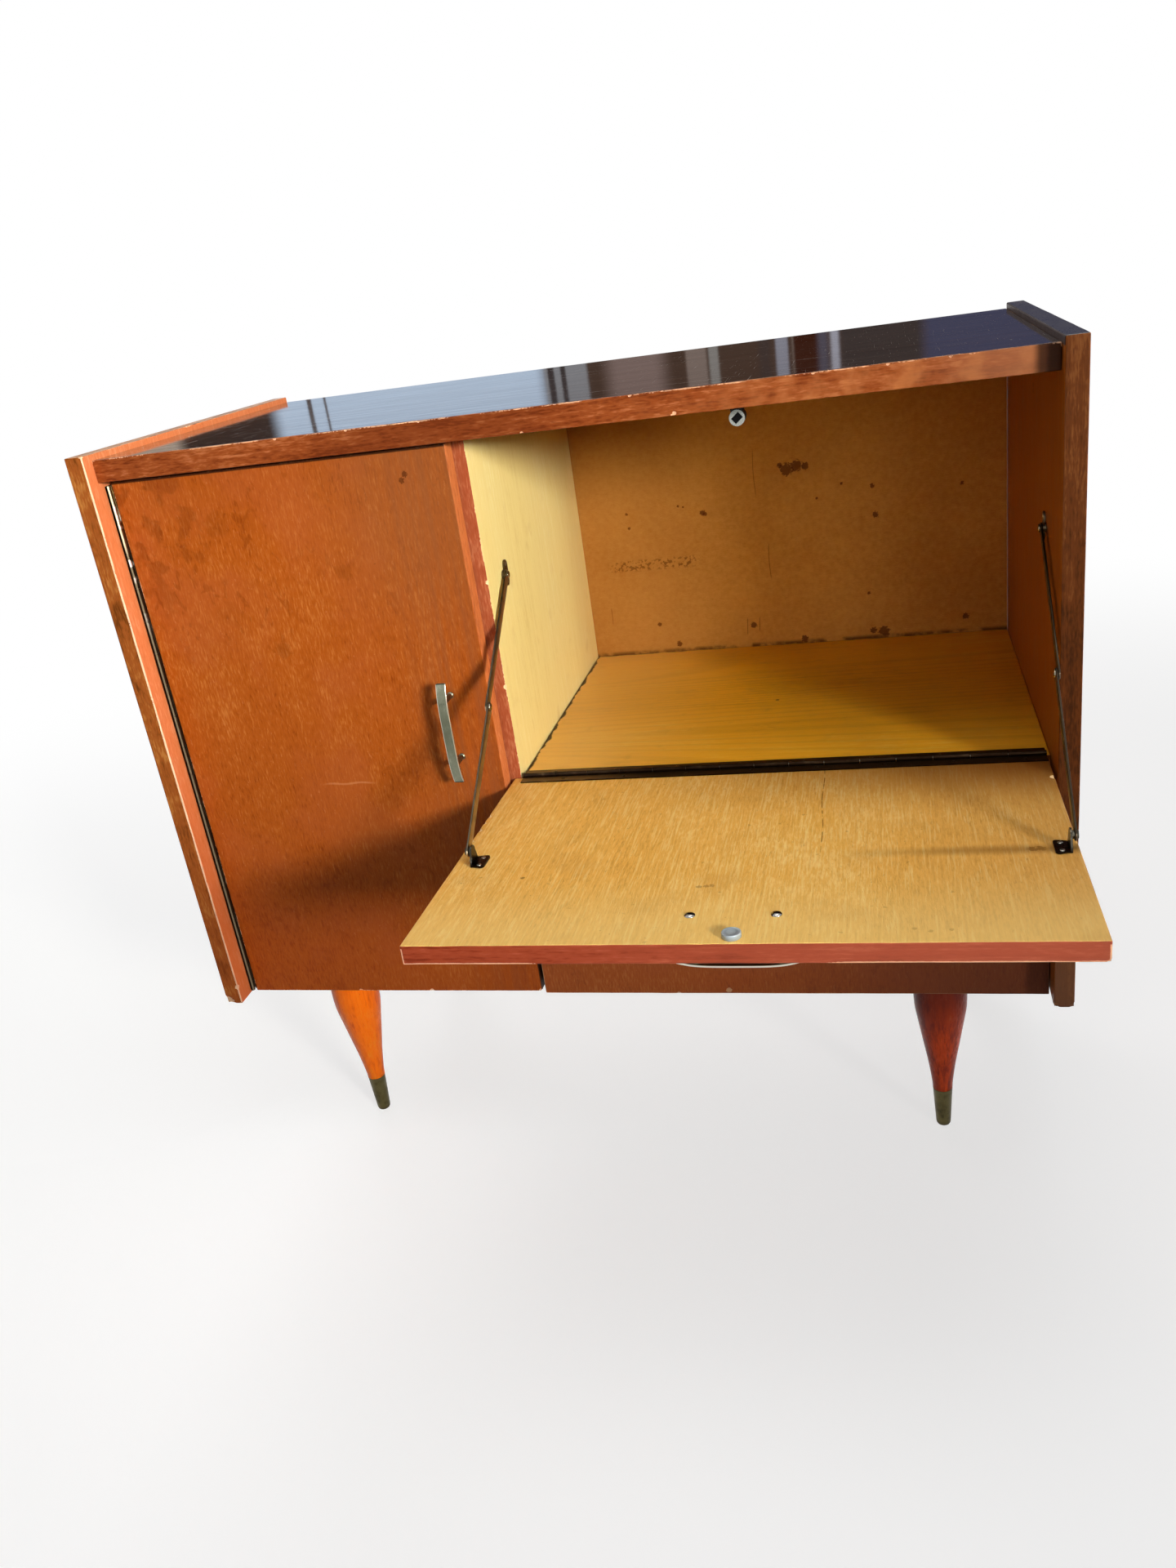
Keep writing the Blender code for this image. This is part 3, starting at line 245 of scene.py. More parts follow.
CAMERA_PLACE = Vector((0.29187, -1.10296, 0.90258))
CAMERA_RIGHT = Vector((0.96841, 0.20851, -0.13679))
CAMERA_FORWARD = Vector((-0.24612, 0.88750, -0.38957))
SENSOR_HEIGHT = 36.0
LENS = 27.609
lens = bpy.data.cameras.new("camera")
lens.sensor_fit = "VERTICAL"
lens.sensor_height = SENSOR_HEIGHT
lens.lens = LENS
camera = bpy.data.objects.new("camera", lens)
bpy.context.scene.collection.objects.link(camera)
turned = Matrix((CAMERA_RIGHT, CAMERA_RIGHT.cross(CAMERA_FORWARD), -CAMERA_FORWARD)).transposed()
camera.matrix_world = Matrix.Translation(CAMERA_PLACE) @ turned.to_4x4()
bpy.context.scene.camera = camera
bpy.context.scene.view_settings.view_transform = "Standard"


# Side panels: 18.5 mm boards with teak veneer on both faces and strips of it along their edges.
# They carry everything else. The arrises are worn through to pale wood, and a corner is chipped.


class Finish(Shading):
    """A surface finish: wood or metal colour, with what lies over it added in turn."""

    def __init__(self, name, coat=0.0, coat_roughness=0.1, shine=0.5):
        self.material = bpy.data.materials.new(name)
        self.material.use_nodes = True
        super().__init__(self.material.node_tree)
        self.surface = self.tree.nodes["Principled BSDF"]
        self.feed(self.surface, {"Coat Weight": coat, "Coat Roughness": coat_roughness,
                                 "Specular IOR Level": shine})
        self.at = self.node("TexCoord", output="Object")
        self.colour = WHITE
        self.roughness = 0.5
        self.height = None
        self.seed = 0.0

    def along(self, axis):
        """Distance from the object's origin along x, y or z."""
        return self.node("SeparateXYZ", {}, {0: self.at}, axis)

    def grain(self, across, along, axis, detail, twist, seed):
        """Noise with that many waves in a metre, across the grain and along it."""
        scale = [across] * 3
        scale[axis] = along
        drawn = self.node("VectorMath", {"operation": "MULTIPLY_ADD"}, {0: self.at, 1: scale, 2: (seed,) * 3})
        return self.node("TexNoise", {},
                         {"Vector": drawn, "Scale": 1.0, "Detail": detail, "Distortion": twist})

    def clouds(self, waves, detail, seed):
        """Noise that is alike in every direction."""
        return self.grain(waves, waves, 0, detail, 0.0, seed)

    def attribute(self, name):
        """A measure that the mesh carries."""
        return self.node("Attribute", {"attribute_name": name}, output="Fac")

    def cover(self, mask, over, roughness=None):
        """Lay a colour over the surface where the mask is 1."""
        self.colour = self.mix(mask, self.colour, over)
        if roughness is not None:
            self.roughness = mask * roughness + (1.0 - mask) * self.roughness

    def near(self, points, size, ragged, seed):
        """1 at the given points and 0 from about size away, with an uneven rim."""
        uneven = (self.clouds(2.2 / size, 3.0, seed) - 0.5) * (2.0 * ragged * size)
        found = None
        for point in points:
            gap = self.node("VectorMath", {"operation": "DISTANCE"}, {0: self.at, 1: point})
            found = gap if found is None else found & gap
        return (found + uneven).rise(size, size * 0.7)

    def spots(self, points, size, ragged, seed, share, over):
        """Small stains round the given points."""
        self.cover(self.near(points, size, ragged, seed) * share, over)

    def done(self, depth=0.0):
        """Join everything to the surface; depth is how deep its relief is, if it has any."""
        joins = {"Base Color": self.colour, "Roughness": self.roughness}
        if self.height is not None:
            joins["Normal"] = self.node("Bump", {},
                                        {"Height": self.height, "Distance": depth, "Strength": 1.0})
        self.feed(self.surface, joins)
        return self.material


RAW_WOOD = "E2AE7C"


def veneer(name, axis, dark, body, light, cloud=0.5, blot=0.5, streak=0.4, fibre=0.7, pore=0.25,
           gloss=0.42, coat=0.03, coat_roughness=0.25, shine=0.06, seed=0.0):
    """Lacquered veneer with its grain along axis: slow clouds, blots, streaks, short light fibres, pores."""
    made = Finish(name, coat, coat_roughness, shine)
    made.seed = seed
    slow = made.grain(9.0, 3.0, axis, 3.0, 0.3, seed)
    patch = made.grain(62.0, 33.0, axis, 3.0, 0.5, seed + 3.0)
    line = made.grain(330.0, 11.0, axis, 3.0, 0.1, seed + 5.0)
    short = made.grain(620.0, 120.0, axis, 2.0, 0.3, seed + 7.0)
    open_pore = made.grain(1300.0, 130.0, axis, 1.0, 0.0, seed + 9.0).rise(0.62, 0.72)
    tone = (slow - 0.5) * cloud + (patch - 0.5) * blot + (line - 0.5) * streak + (short - 0.5) * fibre + 0.5
    low = made.mix(tone.rise(0.18, 0.5), dark, body)
    made.colour = made.mix(tone.rise(0.5, 0.82), low, light)
    made.colour = made.mix(open_pore * pore, made.colour, dark)
    made.roughness = (patch - 0.5) * 0.16 + (short - 0.5) * 0.12 + gloss
    made.height = short - open_pore * 0.8
    return made


def worn(made, pale=RAW_WOOD, amount=0.5):
    """Wear through the veneer: a broken pale line along each arris and ragged chips."""
    ragged = made.clouds(480.0, 4.0, made.seed + 1.0)
    stretch = made.clouds(36.0, 3.0, made.seed + 2.0)
    uneven = (ragged - 0.5) * 0.9 + (stretch - 0.5) * 1.6
    line = (made.attribute("arris") + uneven).rise(1.15 - amount, 1.3 - amount)
    chip = (made.attribute("bare") + (ragged - 0.5) * 1.6).rise(0.55, 0.68)
    made.cover(line * 0.8, pale, 0.6)
    made.cover(chip, pale, 0.75)
    made.height = made.height - chip * 3.0
    return made


FADE = 0.0009
STATION_MERGE = 0.00012
ARRIS_ROUND = 0.0010
BOARD_PITCH = 0.022
UNEVEN_SHARE = 0.45
UNEVEN_WAVES = 45.0
CHIP_WAVES = 700.0
SIDES_OF_BOARD = ("left", "right", "front", "back", "underside", "top")


def stations(low, high, rounding, dense):
    """Where a board's grid lines cross one axis: close together at both ends and round each chip."""
    inner = high - low - 2.0 * rounding
    count = max(1, round(inner / BOARD_PITCH))
    found = [low + rounding + inner * step / count for step in range(count + 1)]
    for share in (0.0, 0.3, 0.62):
        found += [low + rounding * share, high - rounding * share]
    if inner > 4.0 * FADE:
        found += [low + rounding + FADE, high - rounding - FADE]
    for centre, length in dense:
        found += [centre + length * step / 5.0 for step in range(-5, 6)]
    found = sorted(value for value in found if low <= value <= high)
    kept = [found[0]]
    for value in found[1:]:
        if value - kept[-1] > STATION_MERGE:
            kept.append(value)
    kept[-1] = high
    return kept


def worn_board(name, low, high, finish, faces=None, rounding=ARRIS_ROUND, chips=(), wear=None,
               matrix=Matrix.Identity(4)):
    """A board with softened, slightly uneven arrises and chips, each chip a centre, a length and a depth.

    The mesh also carries two measures for its finish: arris, 1 on the rounded edges, and bare, 1 in a chip.
    """
    faces = faces or {}
    low, high = Vector(low), Vector(high)
    lines = [stations(low[axis], high[axis], rounding, [(chip[0][axis], chip[1]) for chip in chips])
             for axis in range(3)]
    found, points, arris, bare = {}, [], [], []

    def vertex(place):
        key = tuple(round(value * 1e6) for value in place)
        if key in found:
            return found[key]
        spot = Vector(place)
        soft = rounding * (1.0 + UNEVEN_SHARE * noise.noise(spot * UNEVEN_WAVES))
        core = Vector([min(max(spot[axis], low[axis] + soft), high[axis] - soft) for axis in range(3)])
        out = spot - core
        landed = core + out.normalized() * soft if out.length > 1e-9 else spot
        edge = sorted(min(spot[axis] - low[axis], high[axis] - spot[axis]) for axis in range(3))[1]
        strength = min(1.0, max(0.0, 1.0 - (edge - rounding) / FADE))
        opened = 0.0
        for centre, length, depth in chips:
            share = 1.0 - (spot - Vector(centre)).length / length
            if share > 0.0:
                opened = max(opened, min(1.0, 2.5 * share))
                sunk = depth * min(1.0, 2.0 * share) * (0.7 + 0.6 * noise.noise(spot * CHIP_WAVES))
                inwards = (low + high) / 2.0 - spot
                for axis in range(3):
                    at_side = abs(inwards[axis]) > 0.48 * (high[axis] - low[axis])
                    inwards[axis] = math.copysign(1.0, inwards[axis]) if at_side else 0.0
                landed = landed + inwards.normalized() * sunk
        points.append(landed)
        arris.append(strength * (wear(spot) if wear else 1.0))
        bare.append(opened)
        found[key] = len(points) - 1
        return found[key]

    polygons, sides = [], []
    for axis in range(3):
        first, second = (axis + 1) % 3, (axis + 2) % 3
        for end in range(2):
            for a, b in zip(lines[first], lines[first][1:]):
                for c, d in zip(lines[second], lines[second][1:]):
                    ring = []
                    for u, v in ((a, c), (b, c), (b, d), (a, d)):
                        place = [0.0, 0.0, 0.0]
                        place[axis] = (low, high)[end][axis]
                        place[first], place[second] = u, v
                        ring.append(vertex(place))
                    polygons.append(ring if end else ring[::-1])
                    sides.append(SIDES_OF_BOARD[2 * axis + end])
    mesh = flat_mesh(name, points, polygons)
    order = [finish]
    for side in SIDES_OF_BOARD:
        if side in faces and faces[side] not in order:
            order.append(faces[side])
    for polygon, side in zip(mesh.polygons, sides):
        polygon.material_index = order.index(faces.get(side, finish))
    mesh.shade_smooth()
    for measure, values in (("arris", arris), ("bare", bare)):
        mesh.attributes.new(measure, "FLOAT", "POINT").data.foreach_set("value", values)
    return shown(name, mesh, order, matrix)


def stands_for(piece, node, body):
    """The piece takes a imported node's place on its body."""
    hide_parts(node)
    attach(piece, body)


TEAK_DARK = "84420E"
TEAK = "A85A20"
TEAK_LIGHT = "C47A3C"
side_outer = worn(veneer("side_outer_veneer", 2, TEAK_DARK, TEAK, TEAK_LIGHT, seed=1.0)).done(0.0001)
# Painted light: the left inner face is a paler copy of the veneer.
left_inner = worn(veneer("left_inner_veneer", 2, "CC6C3C", "DC7E4C", "E8966A", cloud=0.4, blot=0.3,
                         seed=2.0), pale="FFDCB8")
# Painted shade: the left inner face is darker towards the bottom.
left_inner.cover(left_inner.along(2).fall(0.25, 0.55) * 0.55, "B4501C")
# Painted shade: the right inner face is a darker copy of the veneer.
right_inner = worn(veneer("right_inner_veneer", 2, "804012", "965218", "AC682C", cloud=0.4, blot=0.4,
                          seed=5.0), amount=0.1)
SIDE_SPOTS = ((0.4315, 0.12, 0.7495), (0.4315, 0.12, 0.7445))
right_inner.spots(SIDE_SPOTS, 0.0028, 0.4, 1.0, 0.8, "4A1604")
# Painted shade: the right inner face is painted dark from about 0.80 m up.
SHADE_STRIP_HEIGHTS = (0.7995, 0.8015)
right_inner.cover(right_inner.along(2).rise(*SHADE_STRIP_HEIGHTS), "2D190F")
left_front = worn(veneer("left_front_strip", 2, "6C380C", "9E5420", "C07C3A", cloud=0.9, blot=1.0,
                         streak=0.5, pore=0.5, seed=3.0), pale="FFD9B0")
# Painted shade: the left front strip is darker towards the bottom.
left_front.cover(left_front.along(2).fall(0.24, 0.50) * 0.45, "7C3208")
right_front = worn(veneer("right_front_strip", 2, "402008", "603212", "7E4A24", cloud=0.9, blot=0.6,
                          streak=0.6, pore=0.5, seed=6.0), pale="8A5A38")
right_front.cover(right_front.along(2).fall(0.22, 0.34) * 0.6, "8A5E44")
right_front = right_front.done(0.0001)
left_top = worn(veneer("left_top_strip", 1, "7E5230", "B8845C", "CCA07C", blot=1.0, pore=1.2, seed=4.0),
                pale="E8A878", amount=0.45).done(0.00008)
# Painted reflection: the right side's top strip is a dark grey copy of the left one's veneer.
right_top = worn(veneer("right_top_strip", 1, "1C1614", "34302E", "5A5048", gloss=0.3, coat=0.5, shine=0.4,
                        seed=7.0)).done(0.00008)
# Painted shade: a darker copy of the teak for the undersides and for edges hidden in gaps.
shaded_teak = veneer("underside_shaded_teak", 1, "3C1E0C", "5A3018", "744426", seed=8.0).done(0.0001)
NEAR_ARRIS = 0.003
WEAR_ELSEWHERE = 0.35
left_low, left_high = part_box("side_panel_left")
right_low, right_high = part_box("side_panel_right")
left_chips = [((left_low.x + 0.002, left_low.y + 0.001, left_low.z + 0.002), 0.009, 0.0022),
              ((left_high.x, left_low.y, left_low.z + 0.021), 0.0045, 0.0010)]
right_chips = [((right_low.x, right_low.y, right_low.z + 0.001), 0.006, 0.0017),
               ((right_high.x, right_low.y, right_low.z + 0.001), 0.005, 0.0015)]


def inner_arris(inner, front, strength):
    """Wear of its own for a side's inner front arris, where hands and doors rub."""
    def share(spot):
        rubbed = abs(spot.x - inner) < NEAR_ARRIS and abs(spot.y - front) < NEAR_ARRIS
        return strength if rubbed else WEAR_ELSEWHERE
    return share


left_side = worn_board("left_side_board", left_low, left_high, side_outer,
                       {"front": left_front.done(0.0001), "top": left_top, "underside": shaded_teak,
                        "right": left_inner.done(0.00006)},
                       chips=left_chips, wear=inner_arris(left_high.x, left_low.y, 1.05))
right_side = worn_board("right_side_board", right_low, right_high, side_outer,
                        {"front": right_front, "top": right_top, "underside": shaded_teak,
                         "left": right_inner.done(0.00006)},
                        rounding=0.0014, chips=right_chips, wear=inner_arris(right_low.x, right_low.y, 0.2))
stands_for(left_side, "side_panel_left", "carcass")
stands_for(right_side, "side_panel_right", "carcass")


# Top: a board between the sides with a dark, glossy, scratched lacquer, brushed on from side to side,
# and a veneered lipping glued along its front edge. The lipping's arrises are chipped in small places.
top_finish = veneer("top_lacquer", 0, "120A07", "241510", "3A251C", cloud=0.8, blot=0.4, streak=0.9,
                    fibre=0.5, pore=0.6, gloss=0.07, coat=0.0, coat_roughness=0.05, shine=0.85, seed=11.0)
scratch = top_finish.grain(14.0, 900.0, 0, 1.0, 1.2, 4.0).rise(0.74, 0.76)
crossing = top_finish.grain(800.0, 9.0, 0, 1.0, 1.0, 8.0).rise(0.73, 0.76)
speck = top_finish.clouds(260.0, 1.0, 6.0).rise(0.77, 0.80)
marks = (scratch | crossing | speck) * 0.45
top_finish.cover(marks, "A89C90")
streaky = top_finish.grain(420.0, 9.0, 0, 3.0, 0.1, 12.0).rise(0.50, 0.66)
top_finish.cover(streaky * 0.5, "6A5A52")
brushed = top_finish.grain(640.0, 30.0, 0, 3.0, 0.2, 9.0)
worn(top_finish, amount=0.2)
top_finish.height = None
top_finish.roughness = (brushed - 0.5) * 0.12 + marks * 0.5 + 0.075
polish = top_finish.grain(420.0, 7.0, 0, 4.0, 0.2, 21.0).rise(0.44, 0.62) & (1.0 - marks)
top_finish.feed(top_finish.surface, {"Coat Weight": polish * 0.55})
sideways = top_finish.node("CombineXYZ", {}, {0: (brushed - 0.5) * 0.035})
upright = top_finish.node("NewGeometry", output="Normal")
leaning = top_finish.node("VectorMath", {"operation": "ADD"}, {0: upright, 1: sideways})
ridged = top_finish.node("VectorMath", {"operation": "NORMALIZE"}, {0: leaning})
top_finish.feed(top_finish.surface, {"Normal": ridged})
top_low, top_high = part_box("top_panel")
top_board = worn_board("top_board", top_low, top_high, top_finish.done(), rounding=0.0006)
stands_for(top_board, "top_panel", "carcass")

lip_low, lip_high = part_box("top_front_lipping")
lip_finish = veneer("lipping_veneer", 0, "6A2C0E", "8C441C", "AE663A", cloud=0.6, blot=0.7, streak=0.8,
                    fibre=0.9, pore=0.6, seed=12.0)
rubbed_pale = lip_finish.along(0).rise(0.02, 0.30) * lip_finish.clouds(50.0, 3.0, 4.0).rise(0.35, 0.7)
lip_finish.cover(rubbed_pale * 0.6, "C47A46")
lip_finish.cover(abs(lip_finish.along(0) + 0.09).fall(0.05, 0.16) * 0.4, "5E2810")
# Painted shade: the lipping is duller towards its right end.
lip_finish.cover(lip_finish.along(0).rise(0.30, 0.405) * 0.55, "A86E4C")
# Painted shadow of the right side on the lipping's end, with some dirt in the corner.
lip_finish.cover(lip_finish.along(0).rise(0.408, 0.4165) * 0.9, "261206")
lipping = worn(lip_finish, pale="F0B890", amount=0.32).done(0.0001)
LIP_CHIPS = ((0.1246, 0.0), (0.1262, 0.10), (-0.0083, 0.0), (0.242, 1.0), (0.349, 1.0), (0.301, 1.0),
             (0.09, 1.0), (-0.10, 1.0), (-0.24, 1.0), (-0.17, 1.0))
lip_chips = [((x, lip_low.y, lip_low.z + (lip_high.z - lip_low.z) * share), 0.0022, 0.0006)
             for x, share in LIP_CHIPS]
lip_board = worn_board("top_lipping_strip", lip_low, lip_high, lipping, rounding=0.0007, chips=lip_chips,
                       wear=lambda spot: 0.85 if spot.z > lip_high.z - NEAR_ARRIS else 0.4)
stands_for(lip_board, "top_front_lipping", "carcass")


# Bottom, back, divider and shelves: the bar is lined with honey-coloured veneer, the rest with teak. The
# back is a thin stained board behind them, with old spills, scuffs and a rubbed smear on its inner face.
def finished(node, finish):
    """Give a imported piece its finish."""
    nodes[node].material_slots[0].material = finish


inner_teak = veneer("inner_teak_veneer", 0, "8A4522", "A85C2E", "C07C4A", seed=21.0).done(0.00008)
finished("bottom_panel", inner_teak)
finished("inner_shelf", inner_teak)

BACK_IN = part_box("back_panel")[0].y
back_board = Finish("back_hardboard", 0.0, 0.3, 0.08)
felt = back_board.clouds(5.0, 2.0, 1.0)
fuzz = back_board.clouds(170.0, 3.0, 2.0)
hairs = back_board.grain(900.0, 140.0, 0, 2.0, 2.0, 3.0)
tone = (felt - 0.5) * 0.7 + (fuzz - 0.5) * 0.35 + (hairs - 0.5) * 0.35 + 0.5
back_board.colour = back_board.mix(tone.rise(0.15, 0.85), "BC7A30", "E6A854")
inner_face = (back_board.along(1) - BACK_IN).fall(0.0003, 0.0006)
# Painted shade: the inner face is darker on the left.
back_board.cover(back_board.along(0).fall(0.0, 0.15) * inner_face * 0.55, "7C4A18")
# Painted shadow of the top on the upper part of the inner face.
painted_top_shade = back_board.along(2).rise(0.58, 0.79) * inner_face
back_board.cover(painted_top_shade * 0.2, "94581C")
SPILLS = ((0.184, 0.6560, 0.0085), (0.196, 0.6592, 0.0072), (0.206, 0.6578, 0.0050), (0.1765, 0.6615, 0.0035),
          (0.0802, 0.6146, 0.0038), (0.0835, 0.6128, 0.0026), (0.2464, 0.6333, 0.0019),
          (0.2816, 0.6269, 0.0030), (0.2839, 0.5932, 0.0040), (0.382, 0.6205, 0.0025),
          (0.2722, 0.4991, 0.0022), (0.1305, 0.4697, 0.0042), (0.1925, 0.447, 0.0048),
          (0.2885, 0.4494, 0.007), (0.276, 0.452, 0.0045), (0.012, 0.4790, 0.003),
          (-0.012, 0.604, 0.0022), (0.035, 0.452, 0.004), (-0.0134, 0.6216, 0.0020),
          (0.0512, 0.6254, 0.0018), (0.0575, 0.6238, 0.0014), (0.2172, 0.6189, 0.0016),
          (0.384, 0.4615, 0.0045))
for x, z, size in SPILLS:
    spill = back_board.near([(x, BACK_IN, z)], size, 0.9, 40.0 + 9.0 * x)
    back_board.cover(spill * inner_face * 0.8, "5A2806")
SCUFFS = ((0.1463, 0.655, 0.0006, 0.030), (0.157, 0.548, 0.0007, 0.024), (-0.049, 0.494, 0.0008, 0.012),
          (0.123, 0.468, 0.0007, 0.012), (0.138, 0.470, 0.0007, 0.010))
for x, z, width, reach in SCUFFS:
    bend = (back_board.along(2) * 60.0).sine() * 0.0012
    beside = abs(back_board.along(0) + bend - x).fall(width * 0.4, width)
    beyond = abs(back_board.along(2) - z).fall(reach * 0.7, reach)
    back_board.cover(beside * beyond * inner_face * 0.6, "7C4416")
SMEAR_X = 0.013
SMEAR_Z = 0.557
band = (abs(back_board.along(2) - SMEAR_Z).fall(0.004, 0.009)
        * abs(back_board.along(0) - SMEAR_X).fall(0.045, 0.062))
rubbed = back_board.clouds(230.0, 3.0, 6.0).rise(0.51, 0.57)
back_board.cover(band * rubbed * inner_face * 0.65, "5A3210")
grubby = back_board.clouds(60.0, 3.0, 2.0).rise(0.4, 0.6)
SHELF_LINE = 0.442
back_board.cover((back_board.along(2) - SHELF_LINE).fall(0.001, 0.006) * grubby * inner_face * 0.8, "5A3210")
back_board.roughness = 0.62
back_board.height = fuzz + hairs * 0.5
finished("back_panel", back_board.done(0.0001))

divider_low, divider_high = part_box("divider_panel")
wall_veneer = veneer("divider_honey_veneer", 2, "E8CC7C", "F6E094", "FEEEB0", cloud=0.4, blot=0.2,
                     streak=0.5, fibre=0.35, pore=0.12, gloss=0.45, seed=31.0)
wall_dirt = wall_veneer.clouds(28.0, 4.0, 5.0).rise(0.60, 0.80) * 0.25
wall_veneer.cover(wall_dirt, "C8964A")
# Painted shade: the divider's face is darker towards the back.
wall_veneer.cover(wall_veneer.along(1).rise(0.22, 0.35) * 0.3, "A0702C")
divider_veneer = worn(wall_veneer, pale="FFE8C0", amount=0.2).done(0.00005)
divider_front = worn(veneer("divider_front_strip", 2, "823C20", "A05232", "BC7450", cloud=0.6,
                            blot=0.5, seed=32.0), pale="FFDCA8", amount=0.35).done(0.00008)
divider = worn_board("divider_board", divider_low, divider_high, divider_veneer, {"front": divider_front},
                     rounding=0.0006, chips=[((divider_high.x, divider_low.y, 0.645), 0.003, 0.0006),
                                             ((divider_high.x, divider_low.y, 0.5395), 0.0035, 0.0007)],
                     wear=lambda spot: 0.8 if spot.x > divider_high.x - 0.002 else 0.15)
stands_for(divider, "divider_panel", "carcass")

shelf_low, shelf_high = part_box("bar_shelf")
shelf = veneer("bar_shelf_veneer", 0, "DE9C20", "F8B22C", "FFCA50", cloud=0.7, blot=0.3, streak=0.5,
               fibre=0.35, pore=0.2, gloss=0.34, coat=0.15, coat_roughness=0.15, seed=33.0)
rings = (shelf.grain(5.2, 0.75, 0, 1.0, 0.5, 2.0) * 160.0).sine()
shelf.colour = shelf.mix(rings.rise(0.1, 1.0) * 0.15, shelf.colour, "B07016")
shelf.cover(shelf.along(0).fall(-0.06, 0.14) * 0.5, "EEC67C")
shelf.spots([(0.1716, 0.1552, shelf_high.z)], 0.0024, 0.5, 3.0, 0.8, "5E3A12")
from_left = shelf.along(0) - shelf_low.x
from_back = shelf_high.y - shelf.along(1)
grime = shelf.clouds(45.0, 4.0, 4.0)
shelf.cover((from_left + (grime - 0.5) * 0.012).fall(0.0022, 0.0042) * 0.97, "2A1408")
shelf.cover((from_back + (grime - 0.5) * 0.009).fall(0.0006, 0.0028) * 0.9, "2A1408")
shelf.cover(grime.rise(0.60, 0.85) * 0.3, "B98334")
shelf.cover((shelf.along(1) - shelf_low.y).fall(0.0003, 0.0006), "8C4A24")
finished("bar_shelf", shelf.done(0.00006))

softwood = veneer("bare_pine", 1, "B98D55", "D3AE78", "E3C698", streak=1.0, fibre=0.4,
                  gloss=0.62, coat=0.0, seed=34.0).done(0.0001)
for part in ("inner_shelf_batten", "drawer_runner", "drawer_side"):
    for side in ("left", "right"):
        finished(f"{part}_{side}", softwood)
finished("drawer_back", softwood)


# Legs: turned beech, stained and lacquered, and screwed into the bottom: orange on the left and, on the
# right, a darker, redder copy that is partly painted shade, with more painted shade at their tops. Each ends
# in a spun brass ferrule, dulled by age and dark where it meets the floor.
def flowing(points, steps):
    """A smooth line through points in the plane."""
    ends = [points[0], *points, points[-1]]
    found = []
    for a, b, c, d in zip(ends, ends[1:], ends[2:], ends[3:]):
        for step in range(steps):
            t = step / steps
            found.append(tuple(0.5 * (2 * q + (r - p) * t + (2 * p - 5 * q + 4 * r - s) * t ** 2
                                      + (3 * q - p - 3 * r + s) * t ** 3) for p, q, r, s in zip(a, b, c, d)))
    return [*found, points[-1]]


CREASE = math.radians(35.0)


def turned_mesh(name, profile, sides):
    """A turned piece about z, from its profile of radius and height, written from the top down."""
    points, rings = [], []
    for radius, height in profile:
        if radius <= 0.0:
            rings.append([len(points)])
            points.append((0.0, 0.0, height))
            continue
        rings.append(list(range(len(points), len(points) + sides)))
        angles = [math.tau * side / sides for side in range(sides)]
        points += [(radius * math.cos(a), radius * math.sin(a), height) for a in angles]
    faces = []
    for upper, lower in zip(rings, rings[1:]):
        for side in range(sides):
            other = (side + 1) % sides
            ring = [upper[side % len(upper)], lower[side % len(lower)], lower[other % len(lower)],
                    upper[other % len(upper)]]
            faces.append(list(dict.fromkeys(ring)))
    mesh = flat_mesh(name, points, faces)
    mesh.shade_smooth()
    mesh.set_sharp_from_angle(angle=CREASE)
    return mesh


LEG_LENGTH = 0.1997
LEG_HEAD = ((0.0, 0.0), (0.0237, 0.0), (0.0247, 0.0003))
LEG_HEAD_DROP = 0.0012
LEG_SHAPE = ((0.0252, 0.0), (0.0261, 0.0100), (0.0269, 0.0200), (0.0271, 0.0300), (0.0268, 0.0390),
             (0.0260, 0.0486), (0.0227, 0.0680), (0.0185, 0.0926), (0.0142, 0.1175), (0.0109, 0.1420),
             (0.0103, 0.1510))
LEG_FIT = 0.992
LEG_FOOT = ((0.0088, 0.0475), (0.0066, 0.0045), (0.0, 0.0045))
LEG_SIDES = 72
LEG_STEPS = 6
leg_profile = [(radius, LEG_LENGTH - drop) for radius, drop in LEG_HEAD]
leg_profile += [(radius, LEG_LENGTH - LEG_HEAD_DROP - drop * LEG_FIT)
                for radius, drop in flowing(LEG_SHAPE, LEG_STEPS)]
leg_profile += LEG_FOOT
FERRULE_SHAPE = ((0.0, 0.0465), (0.0091, 0.0465), (0.0093, 0.0484), (0.0098, 0.0485), (0.0102, 0.0482),
                 (0.01025, 0.0475), (0.0101, 0.0467), (0.0078, 0.0058), (0.0077, 0.0040), (0.0074, 0.0022),
                 (0.0067, 0.0008), (0.0056, 0.0), (0.0, 0.0))


def leg_stain(name, dark, body, light, seed, top=0.0):
    """Stained beech with small nicks; the last argument sets the painted shade below the cabinet."""
    made = veneer(name, 2, dark, body, light, cloud=0.7, blot=0.4, streak=0.7, fibre=0.3, pore=0.25,
                  gloss=0.26, coat=0.12, coat_roughness=0.12, seed=seed)
    nick = made.clouds(300.0, 2.0, seed).rise(0.75, 0.79)
    made.cover(nick * 0.7, "5A1E08", 0.6)
    # Painted shade: darker towards the top, below the cabinet.
    made.cover(made.along(2).rise(0.11, 0.185) * top, "4A1206")
    return made.done(0.00006)


